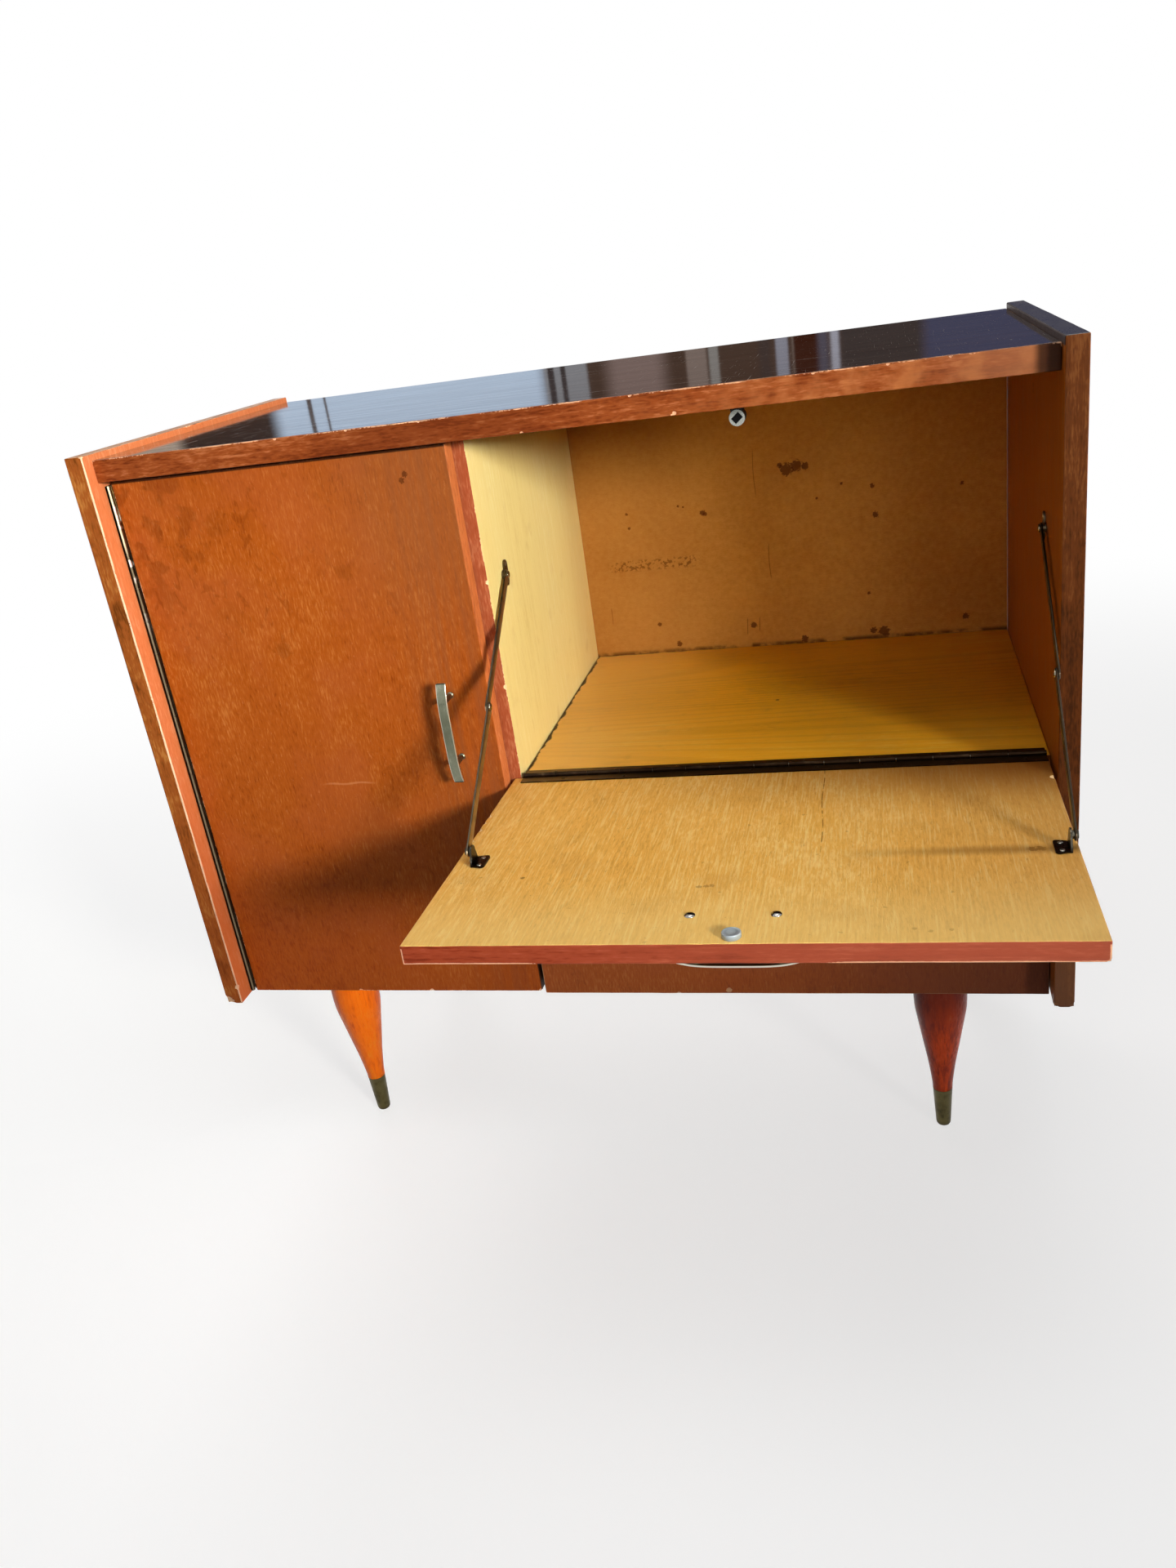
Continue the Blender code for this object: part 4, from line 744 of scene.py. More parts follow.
def metal(name, base, shade, bright, gloss=0.32, brush=0.35, axis=0, tarnish=0.5, seed=0.0):
    """Plated or drawn metal with a brushed line, tarnish in clouds and small pits."""
    made = Finish(name, coat_roughness=0.2)
    made.feed(made.surface, {"Metallic": 1.0})
    cloud = made.clouds(75.0, 4.0, seed)
    lines = made.grain(2600.0, 90.0, axis, 2.0, 0.0, seed + 1.0)
    pits = made.clouds(900.0, 2.0, seed + 2.0).rise(0.66, 0.72)
    tone = (cloud - 0.5) * 1.3 * tarnish + (lines - 0.5) * brush + 0.5
    made.colour = made.mix(tone.rise(0.1, 0.5), shade, base)
    made.colour = made.mix(tone.rise(0.55, 0.9), made.colour, bright)
    made.cover(pits * 0.5 * tarnish, shade)
    made.roughness = (0.5 - cloud) * 0.3 * tarnish + (lines - 0.5) * 0.15 + gloss
    made.height = lines * 0.4 - pits
    return made


orange_stain = leg_stain("leg_orange_stain", "D85002", "FF7606", "FF921C", 41.0)
# Partly painted shade: the right legs' stain is a darker, redder copy, painted darker still at the top.
shaded_red_stain = leg_stain("leg_shaded_red_stain", "962C08", "DA4A10", "F47022", 42.0, 0.8)
brass = metal("ferrule_dull_brass", "585032", "2A2416", "847858", gloss=0.42, axis=2, tarnish=0.9, seed=43.0)
brass.cover(brass.along(2).fall(0.002, 0.007) * 0.6, "3C3420", 0.6)
ferrule_brass = brass.done(0.00005)
for end in ("front", "rear"):
    for side, stain in (("left", orange_stain), ("right", shaded_red_stain)):
        low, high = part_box(f"ferrule_{end}_{side}")
        foot = Matrix.Translation(((low.x + high.x) / 2, (low.y + high.y) / 2, 0.0))
        leg = shown(f"turned_leg_{end}_{side}", turned_mesh("turned_leg", leg_profile, LEG_SIDES),
                    [stain], foot)
        stands_for(leg, f"leg_{end}_{side}", "carcass")
        cup = shown(f"spun_ferrule_{end}_{side}", turned_mesh("spun_ferrule", FERRULE_SHAPE, LEG_SIDES),
                    [ferrule_brass], foot)
        stands_for(cup, f"ferrule_{end}_{side}", "carcass")


# Door: a teak-veneered panel hung on a piano hinge down its left edge. Its grain is blotchy, with
# short light fibres, a few dark marks and one fine scratch.
DOOR_DARK = "883A06"
DOOR_BODY = "A85214"
DOOR_LIGHT = "C07030"


def front_teak(name, seed, axis=2):
    """The veneer of the fronts: rosy clouds, light threads, shaded figure and dark flecks."""
    made = veneer(name, axis, DOOR_DARK, DOOR_BODY, DOOR_LIGHT, cloud=0.45, blot=0.25, streak=0.2, fibre=0.9,
                  pore=0.4, seed=seed)
    rosy = made.clouds(11.0, 3.0, seed + 2.0).rise(0.45, 0.65) * 0.4
    made.cover(rosy, "AC5628")
    thread = made.grain(620.0, 150.0, axis, 2.0, 1.0, seed + 6.0).rise(0.64, 0.72)
    made.cover(thread * 0.3, "D08850")
    shade = made.grain(120.0, 55.0, axis, 4.0, 1.0, seed + 8.0).rise(0.58, 0.66)
    made.cover(shade * made.clouds(9.0, 2.0, seed + 1.0).rise(0.42, 0.62) * 0.4, "7A3204")
    fleck = made.clouds(330.0, 2.0, seed + 4.0).rise(0.76, 0.80)
    made.cover(fleck * 0.5, "5E2A08")
    return made


door_low, door_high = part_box("door_panel")
door_teak = front_teak("door_veneer", 51.0)
dull = door_teak.along(0).rise(-0.20, -0.11) * door_teak.grain(150.0, 3.0, 2, 3.0, 0.1, 9.0).rise(0.3, 0.7)
door_teak.cover(dull * 0.5, "844A2A")
door_teak.cover(door_teak.along(0).rise(-0.27, -0.13) * door_teak.along(2).rise(0.56, 0.72) * 0.4, "8A5630")
# Painted shade: the door is darker towards the bottom.
door_teak.cover(door_teak.along(2).fall(0.24, 0.44) * 0.4, "8A3814")
stained = door_teak.along(0).fall(-0.40, -0.25) * door_teak.along(2).rise(0.58, 0.72)
door_teak.cover(stained * door_teak.clouds(48.0, 4.0, 7.0).rise(0.48, 0.60) * 0.45, "702E06")
door_teak.spots([(-0.127, door_low.y, 0.756), (-0.131, door_low.y, 0.751)], 0.003, 0.8, 2.0, 0.7, "4A2006")
door_teak.spots([(-0.207, door_low.y, 0.673), (-0.29, door_low.y, 0.60)], 0.010, 0.9, 3.0, 0.3, "7A3808")
SCRATCH_X = -0.2515
SCRATCH_Z = 0.4536
scratch_line = abs(door_teak.along(2) - SCRATCH_Z + (door_teak.along(0) * 190.0).sine() * 0.0006)
scratch_span = abs(door_teak.along(0) - SCRATCH_X).fall(0.016, 0.034)
door_teak.cover(scratch_line.fall(0.0004, 0.0016) * scratch_span * 0.45, "D08A54")
worn(door_teak, pale="F0B48C", amount=0.3)
# Painted shadow of the lipping: a near-black line along the door's top.
door_teak.cover(door_teak.along(2).rise(door_high.z - 0.0030, door_high.z - 0.0018) * 0.9, "1E0A02")
door_edge = worn(veneer("door_edge_strip", 2, "A85428", "D07842", "E49866", cloud=0.4,
                        blot=0.3, seed=52.0), pale="FFD0A0", amount=0.1)
# Painted shadow of the flap: the door's edges are near black below it.
door_edge.cover(door_edge.along(2).fall(0.425, 0.442) * 0.92, "120804")
door_edge = door_edge.done(0.00008)
door_board = worn_board("door_board", door_low, door_high, door_teak.done(0.00012),
                        {"right": door_edge, "left": door_edge, "top": shaded_teak, "underside": shaded_teak},
                        chips=[((door_high.x, door_low.y, door_low.z), 0.004, 0.0009),
                               ((door_low.x + 0.13, door_low.y, door_low.z), 0.003, 0.0007),
                               ((door_low.x + 0.215, door_low.y, door_low.z), 0.0035, 0.0006)],
                        wear=lambda spot: 0.15 if spot.x > door_high.x - 0.002 else 0.8)
stands_for(door_board, "door_panel", "door")


# Piano hinges: rolled steel leaves on a wire pin, let in flush and held by small countersunk screws. The
# door's is nickelled, with painted highlights near its top, painted shade below them and painted shade
# with dirt in the gap beside its barrel. The flap's is browned.
def dome_line(radius, height):
    """The profile of a domed head, from its middle to its rim."""
    turns = [math.pi / 2 * step / DOME_STEPS for step in range(DOME_STEPS + 1)]
    return [(radius * math.sin(turn), height * math.cos(turn)) for turn in turns]


def screw_mesh(name, radius, dome, slot):
    """A domed screw head on its seat, with its slot cut by a block."""
    seat, tip = radius * 0.55, radius * 0.45
    profile = dome_line(radius, dome) + [(radius, -0.0001), (tip, -seat), (0.0, -seat)]
    head = shown(name, turned_mesh(name, profile, SCREW_SIDES))
    half, deep, over = radius * 1.3, dome - 0.25 * radius, dome + 0.001
    corners = [(x * half, y * slot / 2, z) for x in (-1, 1) for y in (-1, 1) for z in (deep, over)]
    faces = [(0, 1, 3, 2), (4, 6, 7, 5), (0, 4, 5, 1), (2, 3, 7, 6), (0, 2, 6, 4), (1, 5, 7, 3)]
    blade = shown("slot_cutter", flat_mesh("slot_cutter", corners, faces))
    cut = head.modifiers.new("slot", "BOOLEAN")
    cut.operation = "DIFFERENCE"
    cut.solver = "EXACT"
    cut.object = blade
    evaluated = head.evaluated_get(bpy.context.evaluated_depsgraph_get())
    mesh = bpy.data.meshes.new_from_object(evaluated)
    bpy.data.objects.remove(head)
    bpy.data.objects.remove(blade)
    mesh.materials.clear()
    mesh.shade_smooth()
    mesh.set_sharp_from_angle(angle=CREASE)
    return mesh


def facing(place, out, turn=0.0):
    """Where a fitting sits: its own z points out of the surface, and it is turned about that."""
    quaternion = Vector(out).to_track_quat("Z", "Y")
    return Matrix.Translation(place) @ quaternion.to_matrix().to_4x4() @ Matrix.Rotation(turn, 4, "Z")


def screw_steel(name, base, shade, bright, dome, slot, radius, seed, gloss=0.3):
    """A screw's metal, with dirt in its slot."""
    made = metal(name, base, shade, bright, gloss=gloss, tarnish=0.8, seed=seed)
    low_down = made.along(2).fall(dome - 0.2 * radius, dome - 0.1 * radius)
    in_slot = abs(made.along(1)).fall(slot * 0.42, slot * 0.55) * low_down
    made.cover(in_slot, "1A1410", 0.8)
    return made.done(0.00003)


axis_of = {joint["name"]: Vector(joint["pos_m"]) for joint in frame["joints"] if "pos_m" in joint}
DOME_STEPS = 8
SCREW_SIDES = 32
HINGE_SCREW = 0.0021
HINGE_DOME = 0.0004
HINGE_SLOT = 0.0006
small_screw = screw_mesh("hinge_screw", HINGE_SCREW, HINGE_DOME, HINGE_SLOT)
nickel_screw = screw_steel("small_nickel_screw", "B8B6A8", "6E6A5C", "E8E6DC", HINGE_DOME, HINGE_SLOT,
                           HINGE_SCREW, 53.0)
brown_screw = screw_steel("small_brown_screw", "40342A", "1E1812", "6A5A48", HINGE_DOME, HINGE_SLOT,
                          HINGE_SCREW, 54.0)


def fasten(name, mesh, finish, matrix, body):
    """One more small fitting, in place on its body."""
    made = shown(name, mesh.copy(), [finish], matrix)
    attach(made, body)


door_axis = axis_of["door_hinge"]
nickel = metal("door_hinge_nickel", "E4D4AC", "A08C64", "FFF8E4", gloss=0.34, axis=2, seed=55.0)
from_pin = nickel.along(0) - door_axis.x
# Painted shade, with dirt: near black in the gap on the barrel's left.
nickel.cover(from_pin.fall(0.0006, 0.0010), "0C0806", 0.9)
nickel.cover(from_pin.rise(0.0019, 0.0022) * 0.85, "4A2410")
# Painted shade below the hinge's upper part, and painted highlights on it near its top.
nickel.cover(nickel.along(2).fall(0.705, 0.725) * 0.8, "24160E", 0.6)
glint_bits = nickel.grain(30.0, 55.0, 2, 2.0, 0.0, 3.0).rise(0.5, 0.6) * nickel.along(2).rise(0.62, 0.70)
nickel.cover(glint_bits * from_pin.rise(0.0008, 0.0011) * 0.9, "FFFFFA", 0.3)
door_hinge = nickel.done(0.00004)
flap_hinge = metal("flap_hinge_brown_steel", "34281E", "16100C", "6E5A42", gloss=0.42, tarnish=1.3, seed=56.0)
rub = flap_hinge.grain(700.0, 12.0, 0, 2.0, 0.3, 8.0).rise(0.60, 0.70)
flap_hinge.cover(rub * 0.35, "A08460", 0.4)
off_pin = abs(flap_hinge.along(1) - axis_of["flap_hinge"].y)
on_leaf = off_pin.rise(0.0034, 0.0044) & off_pin.fall(0.0128, 0.0140)
flap_hinge.cover(on_leaf * 0.75, "86663E", 0.5)
flap_hinge.cover(flap_hinge.along(0).rise(-0.03, 0.07) * 0.82, "1C1008")
browned_hinge = flap_hinge.done(0.00005)
pin_steel = metal("pin_steel", "A8A498", "605C50", "D8D4C8", tarnish=0.6, seed=57.0).done(0.00003)
for part in ("door_hinge_fixed_leaf", "door_hinge_moving_leaf"):
    finished(part, door_hinge)
for part in ("flap_hinge_fixed_leaf", "flap_hinge_moving_leaf"):
    finished(part, browned_hinge)
for part in ("door_hinge_pin", "flap_hinge_pin"):
    finished(part, pin_steel)

LEAF_FACE = 0.0014
SCREW_REACH = 0.0092
DOOR_SCREW_OFFSET = 0.01
fixed_low, fixed_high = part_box("door_hinge_fixed_leaf")
DOOR_HINGE_SCREWS = 8
for count in range(DOOR_HINGE_SCREWS):
    share = (count + 0.5) / DOOR_HINGE_SCREWS
    z = fixed_low.z + (fixed_high.z - fixed_low.z) * share
    y = door_axis.y + SCREW_REACH
    fasten(f"door_hinge_side_screw_{count + 1}", small_screw, nickel_screw,
           facing((door_axis.x - LEAF_FACE, y, z), (1, 0, 0), count * 0.9), "carcass")
    fasten(f"door_hinge_door_screw_{count + 1}", small_screw, nickel_screw,
           facing((door_axis.x + LEAF_FACE, y, z - DOOR_SCREW_OFFSET), (-1, 0, 0), count * 1.3), "door")


# Handles: flat steel straps whose ends bend back to the panel, each on two round posts and held by
# two slotted dome-headed screws from inside. The plating is dull and grey-green.
STRAP_LENGTH = 0.103
STRAP_HALF_WIDTH = 0.005
STRAP_THICKNESS = 0.0018
STRAP_CORNER = 0.00055
STRAP_DROP = 0.006
STRAP_POWER = 4
STRAP_STEPS = 56
STRAP_END = 0.975
STRAP_END_INSET = 0.0014
CORNER_STEPS = 3
PROJECTION = 0.0265
POST_SPACING = 0.065
POST_SIDES = 32
POST_BITE = 0.0004
PROUD = 0.0001
POST_SHAPE = ((0.0031, 1.0), (0.0029, 0.55), (0.00245, 0.16), (0.0025, 0.08), (0.0033, 0.05), (0.0034, 0.0))


def handle_mesh(name):
    """The strap along x, its width along y and its front towards z, with both posts."""
    half = STRAP_LENGTH / 2
    points, faces = [], []
    corner_turns = [math.pi / 2 * step / CORNER_STEPS for step in range(CORNER_STEPS + 1)]
    section = 4 * len(corner_turns)
    for step in range(STRAP_STEPS + 1):
        share = -math.cos(math.pi * step / STRAP_STEPS)
        rise = PROJECTION - STRAP_DROP * abs(share) ** STRAP_POWER
        past = max(0.0, (abs(share) - STRAP_END) / (1.0 - STRAP_END))
        width = STRAP_HALF_WIDTH - STRAP_END_INSET * (1.0 - math.sqrt(max(0.0, 1.0 - past ** 2)))
        slope = -math.copysign(STRAP_DROP * STRAP_POWER * abs(share) ** (STRAP_POWER - 1) / half, share)
        normal = Vector((-slope, 0.0, 1.0)).normalized()
        for side, over in ((1, 1), (-1, 1), (-1, -1), (1, -1)):
            turns = corner_turns if side * over > 0 else corner_turns[::-1]
            for turn in turns:
                y = side * (width - STRAP_CORNER + STRAP_CORNER * math.cos(turn))
                z = over * (STRAP_THICKNESS / 2 - STRAP_CORNER + STRAP_CORNER * math.sin(turn))
                centre = Vector((half * share, y, rise - STRAP_THICKNESS / 2))
                points.append(centre + normal * z)
    for step in range(STRAP_STEPS):
        for corner in range(section):
            a = step * section + corner
            b = step * section + (corner + 1) % section
            faces.append((a, b, b + section, a + section))
    faces.append(tuple(range(section))[::-1])
    faces.append(tuple(STRAP_STEPS * section + corner for corner in range(section)))
    strap = flat_mesh(name, points, faces)
    under = PROJECTION - STRAP_DROP * (POST_SPACING / STRAP_LENGTH) ** STRAP_POWER - STRAP_THICKNESS
    reach = under + POST_BITE
    shape = bmesh.new()
    shape.from_mesh(strap)
    for side in (-1, 1):
        around = [(radius, reach * share + PROUD) for radius, share in POST_SHAPE]
        post = turned_mesh("post", [(0.0, reach), *around, (0.0, PROUD)], POST_SIDES)
        post.transform(Matrix.Translation((side * POST_SPACING / 2, 0.0, 0.0)))
        shape.from_mesh(post)
        bpy.data.meshes.remove(post)
    bmesh.ops.recalc_face_normals(shape, faces=shape.faces)
    shape.to_mesh(strap)
    shape.free()
    strap.shade_smooth()
    strap.set_sharp_from_angle(angle=math.radians(40.0))
    return strap


dull_steel = metal("handle_dull_steel", "80826E", "4A4A3C", "B4B6A2", gloss=0.34, brush=0.6, tarnish=0.8,
                   seed=61.0)
# Painted reflection: darker in the strap's middle, with bright lines along its long edges.
dull_steel.cover(abs(dull_steel.along(0) - 0.004).fall(0.006, 0.036) * 0.45, "4E503C")
dull_steel.cover(abs(dull_steel.along(1)).rise(0.0040, 0.0046) * 0.8, "EAE6D4", 0.3)
dull_steel.cover(abs(dull_steel.along(0)).rise(0.0503, 0.0511) * 0.8, "2E2A1C")
handle_steel = dull_steel.done(0.00004)
DOME_RADIUS = 0.0043
DOME_HEIGHT = 0.0020
DOME_SLOT = 0.0011
dome_screw = screw_mesh("dome_screw", DOME_RADIUS, DOME_HEIGHT, DOME_SLOT)
dome_steel = screw_steel("dome_screw_steel", "9A9690", "4E4642", "E8E6E0", DOME_HEIGHT, DOME_SLOT,
                         DOME_RADIUS, 62.0, 0.13)


def hang_handle(name, seat, thickness, body, ends, turns):
    """A handle on its seat, whose z points out of the panel, and its two screws on the other side."""
    made = shown(f"{name}_strap", handle_mesh(f"{name}_strap"), [handle_steel], seat)
    stands_for(made, name, body)
    for end, side, turn in zip(ends, (-1, 1), turns):
        under = seat @ Matrix.Translation((side * POST_SPACING / 2, 0.0, -thickness))
        turned_over = under @ Matrix.Rotation(math.pi, 4, "X") @ Matrix.Rotation(turn, 4, "Z")
        head = shown(f"{name}_dome_screw_{end}", dome_screw.copy(), [dome_steel], turned_over)
        stands_for(head, f"{name}_screw_{end}", body)


def axes(x_axis, y_axis):
    """The turn that brings x and y onto two given axes."""
    x_axis, y_axis = Vector(x_axis), Vector(y_axis)
    return Matrix((x_axis, y_axis, x_axis.cross(y_axis))).transposed().to_4x4()


def middle(node):
    """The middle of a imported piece."""
    low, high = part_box(node)
    return (low + high) / 2


door_middle = middle("door_handle")
seat = Matrix.Translation((door_middle.x, door_low.y, door_middle.z)) @ axes((0, 0, 1), (-1, 0, 0))
hang_handle("door_handle", seat, door_high.y - door_low.y, "door", ("lower", "upper"), (0.5, 1.9))
drawer_low, drawer_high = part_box("drawer_front")
drawer_middle = middle("drawer_handle")
seat = Matrix.Translation((drawer_middle.x, drawer_low.y, drawer_middle.z)) @ axes((1, 0, 0), (0, 0, 1))
hang_handle("drawer_handle", seat, drawer_high.y - drawer_low.y, "drawer", ("left", "right"), (0.2, 1.1))


# Flap: the fall front of the bar, veneered in honey inside and teak outside, with a teak strip round its
# edges. It lies open a little above level. Its inner face is darker on the right, with painted shade along
# the hinge, small stains, a painted shadow of the right stay and one fine crack.
FLAP_TILT = math.radians(1.3)
flap_frame = Matrix.Translation(axis_of["flap_hinge"]) @ Matrix.Rotation(-FLAP_TILT, 4, "X")


def box_in(node, matrix):
    """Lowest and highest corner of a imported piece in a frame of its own."""
    turned_back = matrix.inverted()
    places = [turned_back @ vertex.co for vertex in nodes[node].data.vertices]
    return [Vector([pick(place[axis] for place in places) for axis in range(3)]) for pick in (min, max)]


flap_low, flap_high = box_in("flap_panel", flap_frame)
SHIFT_X = axis_of["flap_hinge"].x


def on_flap(x, out):
    """A place on the flap's inner face: x across the cabinet, and how far out from the hinge."""
    return (x - SHIFT_X, -out, flap_high.z)


flap_inner = veneer("flap_honey_veneer", 1, "E2A444", "F6BA58", "FFD27C", cloud=0.6, blot=0.4, streak=0.35,
                    fibre=0.8, pore=0.3, gloss=0.40, coat=0.1, coat_roughness=0.18, seed=71.0)
lines = flap_inner.grain(620.0, 28.0, 1, 3.0, 0.5, 1.0)
flap_inner.cover(lines.rise(0.54, 0.64) * 0.45, "FFE294")
flap_inner.cover(lines.fall(0.36, 0.46) * 0.2, "C48432")
ticks = flap_inner.grain(900.0, 110.0, 1, 2.0, 0.6, 5.0).rise(0.64, 0.70)
flap_inner.cover(ticks * flap_inner.clouds(14.0, 2.0, 6.0).rise(0.40, 0.62) * 0.3, "A86420")
flap_inner.cover(flap_inner.along(0).rise(0.02, 0.34) * 0.5, "BC8850")
# Painted shade along the hinge, growing towards the right, for the right side's shadow.
hinge_shadow = flap_inner.along(1).rise(-0.13, -0.012)
flap_inner.cover(hinge_shadow * flap_inner.along(0).rise(-0.20, 0.28) * 0.92, "7E420E")
flap_inner.cover(flap_inner.along(1).fall(flap_low.y + 0.01, flap_low.y + 0.12) * 0.45, "FFDE8C")
haze = flap_inner.clouds(16.0, 4.0, 2.0).rise(0.52, 0.75) * 0.25
flap_inner.cover(haze, "CC9448")
flap_inner.cover(flap_inner.clouds(170.0, 3.0, 3.0).rise(0.69, 0.76) * 0.35, "A87030")
CRACK_X = 0.2307
crack = abs(flap_inner.along(0) - (CRACK_X - SHIFT_X) + (flap_inner.along(1) * 55.0).sine() * 0.0008
            + (flap_inner.along(1) + 0.10) * 0.02)
crack_span = flap_inner.along(1).rise(-0.196, -0.188)
broken = flap_inner.clouds(90.0, 2.0, 7.0).rise(0.40, 0.55)
flap_inner.cover(crack.fall(0.0002, 0.0006) * crack_span * broken * 0.8, "6E4018", 0.7)
FLAP_SPOTS = ((((0.1458, 0.2446), (0.150, 0.2437), (0.140, 0.2455)), 0.0026, 0.9, 3.0, 0.5, "A06020"),
              (((0.313, 0.3188), (0.302, 0.315), (0.327, 0.317)), 0.0020, 0.9, 5.0, 0.4, "B47A34"),
              (((-0.0115, 0.2235),), 0.0022, 0.6, 4.0, 0.7, "8A5420"),
              (((0.394, 0.193), (0.400, 0.1925)), 0.0045, 0.9, 6.0, 0.6, "6A3C10"))
for places, *looks in FLAP_SPOTS:
    flap_inner.spots([on_flap(*place) for place in places], *looks)
# Painted shadow of the right stay, a soft band across the flap.
STAY_SHADOW_OUT = 0.193
stay_shadow = (abs(flap_inner.along(1) + STAY_SHADOW_OUT).fall(0.0, 0.012)
          * flap_inner.along(0).rise(0.22 - SHIFT_X, 0.38 - SHIFT_X))
flap_inner.cover(stay_shadow * 0.55, "80501E")
worn(flap_inner, pale="FFDCA0", amount=0.35)
flap_teak = worn(front_teak("flap_outer_veneer", 72.0, axis=1), amount=0.35).done(0.0001)
flap_strip = veneer("flap_edge_strip", 0, "7E2E16", "A04428", "BC6042", cloud=0.7, blot=0.5,
                    streak=0.8, fibre=0.5, seed=73.0)
flap_strip.cover(flap_strip.along(0).rise(-0.25, 0.25) * 0.5, "C0644E")
flap_strip = worn(flap_strip, pale="FFC8A0", amount=0.55).done(0.0001)
flap_side = worn(veneer("flap_side_strip", 1, "7E3416", "A0502C", "B9643E", seed=74.0),
                 pale="FFD8B0", amount=0.6).done(0.0001)
SIDE_CHIPS = ((0.094, 0.004), (0.109, 0.003), (0.125, 0.004), (0.148, 0.003))
flap_chips = [((0.428 - SHIFT_X, flap_low.y, flap_low.z), 0.003, 0.0008)]
flap_chips += [((flap_low.x, -out, flap_high.z), length, 0.0007) for out, length in SIDE_CHIPS]
flap_chips += [((flap_high.x, -0.051, flap_high.z), 0.005, 0.0010)]


def flap_wear(spot):
    """The strip's lower arris is rubbed at the flap's left end and along its right half."""
    if spot.z > flap_high.z - NEAR_ARRIS:
        return 0.3
    return 1.25 if spot.x < flap_low.x + 0.10 or spot.x > flap_low.x + 0.33 else 0.2


flap_faces = {"top": flap_inner.done(0.00008), "front": flap_strip, "left": flap_side, "right": flap_side}
flap_board = worn_board("flap_board", flap_low, flap_high, flap_teak, flap_faces, chips=flap_chips,
                        matrix=flap_frame, wear=flap_wear)
stands_for(flap_board, "flap_panel", "flap")

FLAP_HANDLE_EDGE = 0.0425
FLAP_HANDLE_SHIFT = 0.0025
seat = flap_frame @ Matrix.Translation(((flap_low.x + flap_high.x) / 2 - FLAP_HANDLE_SHIFT,
                                        flap_low.y + FLAP_HANDLE_EDGE, flap_low.z))
seat = seat @ axes((1, 0, 0), (0, -1, 0))
hang_handle("flap_handle", seat, flap_high.z - flap_low.z, "flap", ("left", "right"), (0.25, 0.75))

FLAP_HINGE_SCREWS = 8
FLAP_SCREW_OFFSET = 0.012
leaf_low, leaf_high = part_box("flap_hinge_fixed_leaf")
hinge = axis_of["flap_hinge"]
for count in range(FLAP_HINGE_SCREWS):
    x = leaf_low.x + (leaf_high.x - leaf_low.x) * (count + 0.5) / FLAP_HINGE_SCREWS
    fasten(f"flap_hinge_shelf_screw_{count + 1}", small_screw, brown_screw,
           facing((x, hinge.y + SCREW_REACH, hinge.z - LEAF_FACE), (0, 0, 1), count * 0.8), "carcass")
    on_leaf = (x + FLAP_SCREW_OFFSET - SHIFT_X, -SCREW_REACH, -LEAF_FACE)
    fasten(f"flap_hinge_flap_screw_{count + 1}", small_screw, brown_screw,
           flap_frame @ facing(on_leaf, (0, 0, 1), count * 1.1), "flap")


# Catches: a nickelled barrel under the top holds a black magnet, set askew, and a steel disc on the
# panel meets it. The door has the same catch inside.
barrel = metal("catch_nickel", "A4A69E", "54564E", "E4E6E0", gloss=0.28, axis=1, tarnish=0.8, seed=81.0)
# Painted shade: the barrel is darker towards its top.
barrel.cover((barrel.along(2) - middle("flap_catch_magnet").z).rise(0.0, 0.006) * 0.6, "54544C")
barrel.cover((barrel.along(1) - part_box("flap_catch_body")[0].y).rise(0.0002, 0.0005) * 0.92, "14100C", 0.6)
catch_nickel = barrel.done(0.00004)
magnet = Finish("black_magnet", 0.0, 0.2, 0.08)
grit = magnet.clouds(1500.0, 2.0, 3.0)
magnet.colour = magnet.mix(grit.rise(0.4, 0.7), "040405", "0C0C0E")
magnet.roughness = (grit - 0.5) * 0.3 + 0.42
magnet.height = grit
black_magnet = magnet.done(0.00004)
STRIKE_RADIUS = 0.0073
STRIKE_HEIGHT = 0.0042
STRIKE_SIDES = 64
disc_profile = [(0.0, STRIKE_HEIGHT - 0.00015), (STRIKE_RADIUS - 0.0015, STRIKE_HEIGHT - 0.00015),
                (STRIKE_RADIUS - 0.0011, STRIKE_HEIGHT), (STRIKE_RADIUS - 0.0006, STRIKE_HEIGHT),
                (STRIKE_RADIUS - 0.0002, STRIKE_HEIGHT - 0.0002), (STRIKE_RADIUS, STRIKE_HEIGHT - 0.0006),
                (STRIKE_RADIUS, 0.0004), (STRIKE_RADIUS - 0.0002, 0.0), (0.0, 0.0)]
disc = metal("strike_zinc", "A4B0B6", "70787C", "E6ECEE", gloss=0.5, tarnish=0.6, seed=82.0)
disc.feed(disc.surface, {"Metallic": 0.35})
centre_gap = disc.node("VectorMath", {"operation": "LENGTH"}, {0: disc.at})
ring = centre_gap.rise(0.0050, 0.0056) * centre_gap.fall(0.0064, 0.0068)
disc.cover(ring * 0.35, "5C646A")
strike_zinc = disc.done(0.00004)
for part in ("door", "flap"):
    finished(f"{part}_catch_body", catch_nickel)
    finished(f"{part}_catch_magnet", black_magnet)
spot = ((flap_low.x + flap_high.x) / 2, box_in("flap_strike", flap_frame)[0].y + STRIKE_RADIUS,
        flap_high.z + PROUD)
on_flap_face = flap_frame @ Matrix.Translation(spot)
spot = middle("door_strike")
on_door_face = facing((spot.x, door_high.y + PROUD, spot.z), (0, 1, 0))
for part, matrix in (("flap", on_flap_face), ("door", on_door_face)):
    strike = shown(f"{part}_strike_disc", turned_mesh(f"{part}_strike_disc", disc_profile, STRIKE_SIDES),
                   [strike_zinc], matrix)
    stands_for(strike, f"{part}_strike", part)


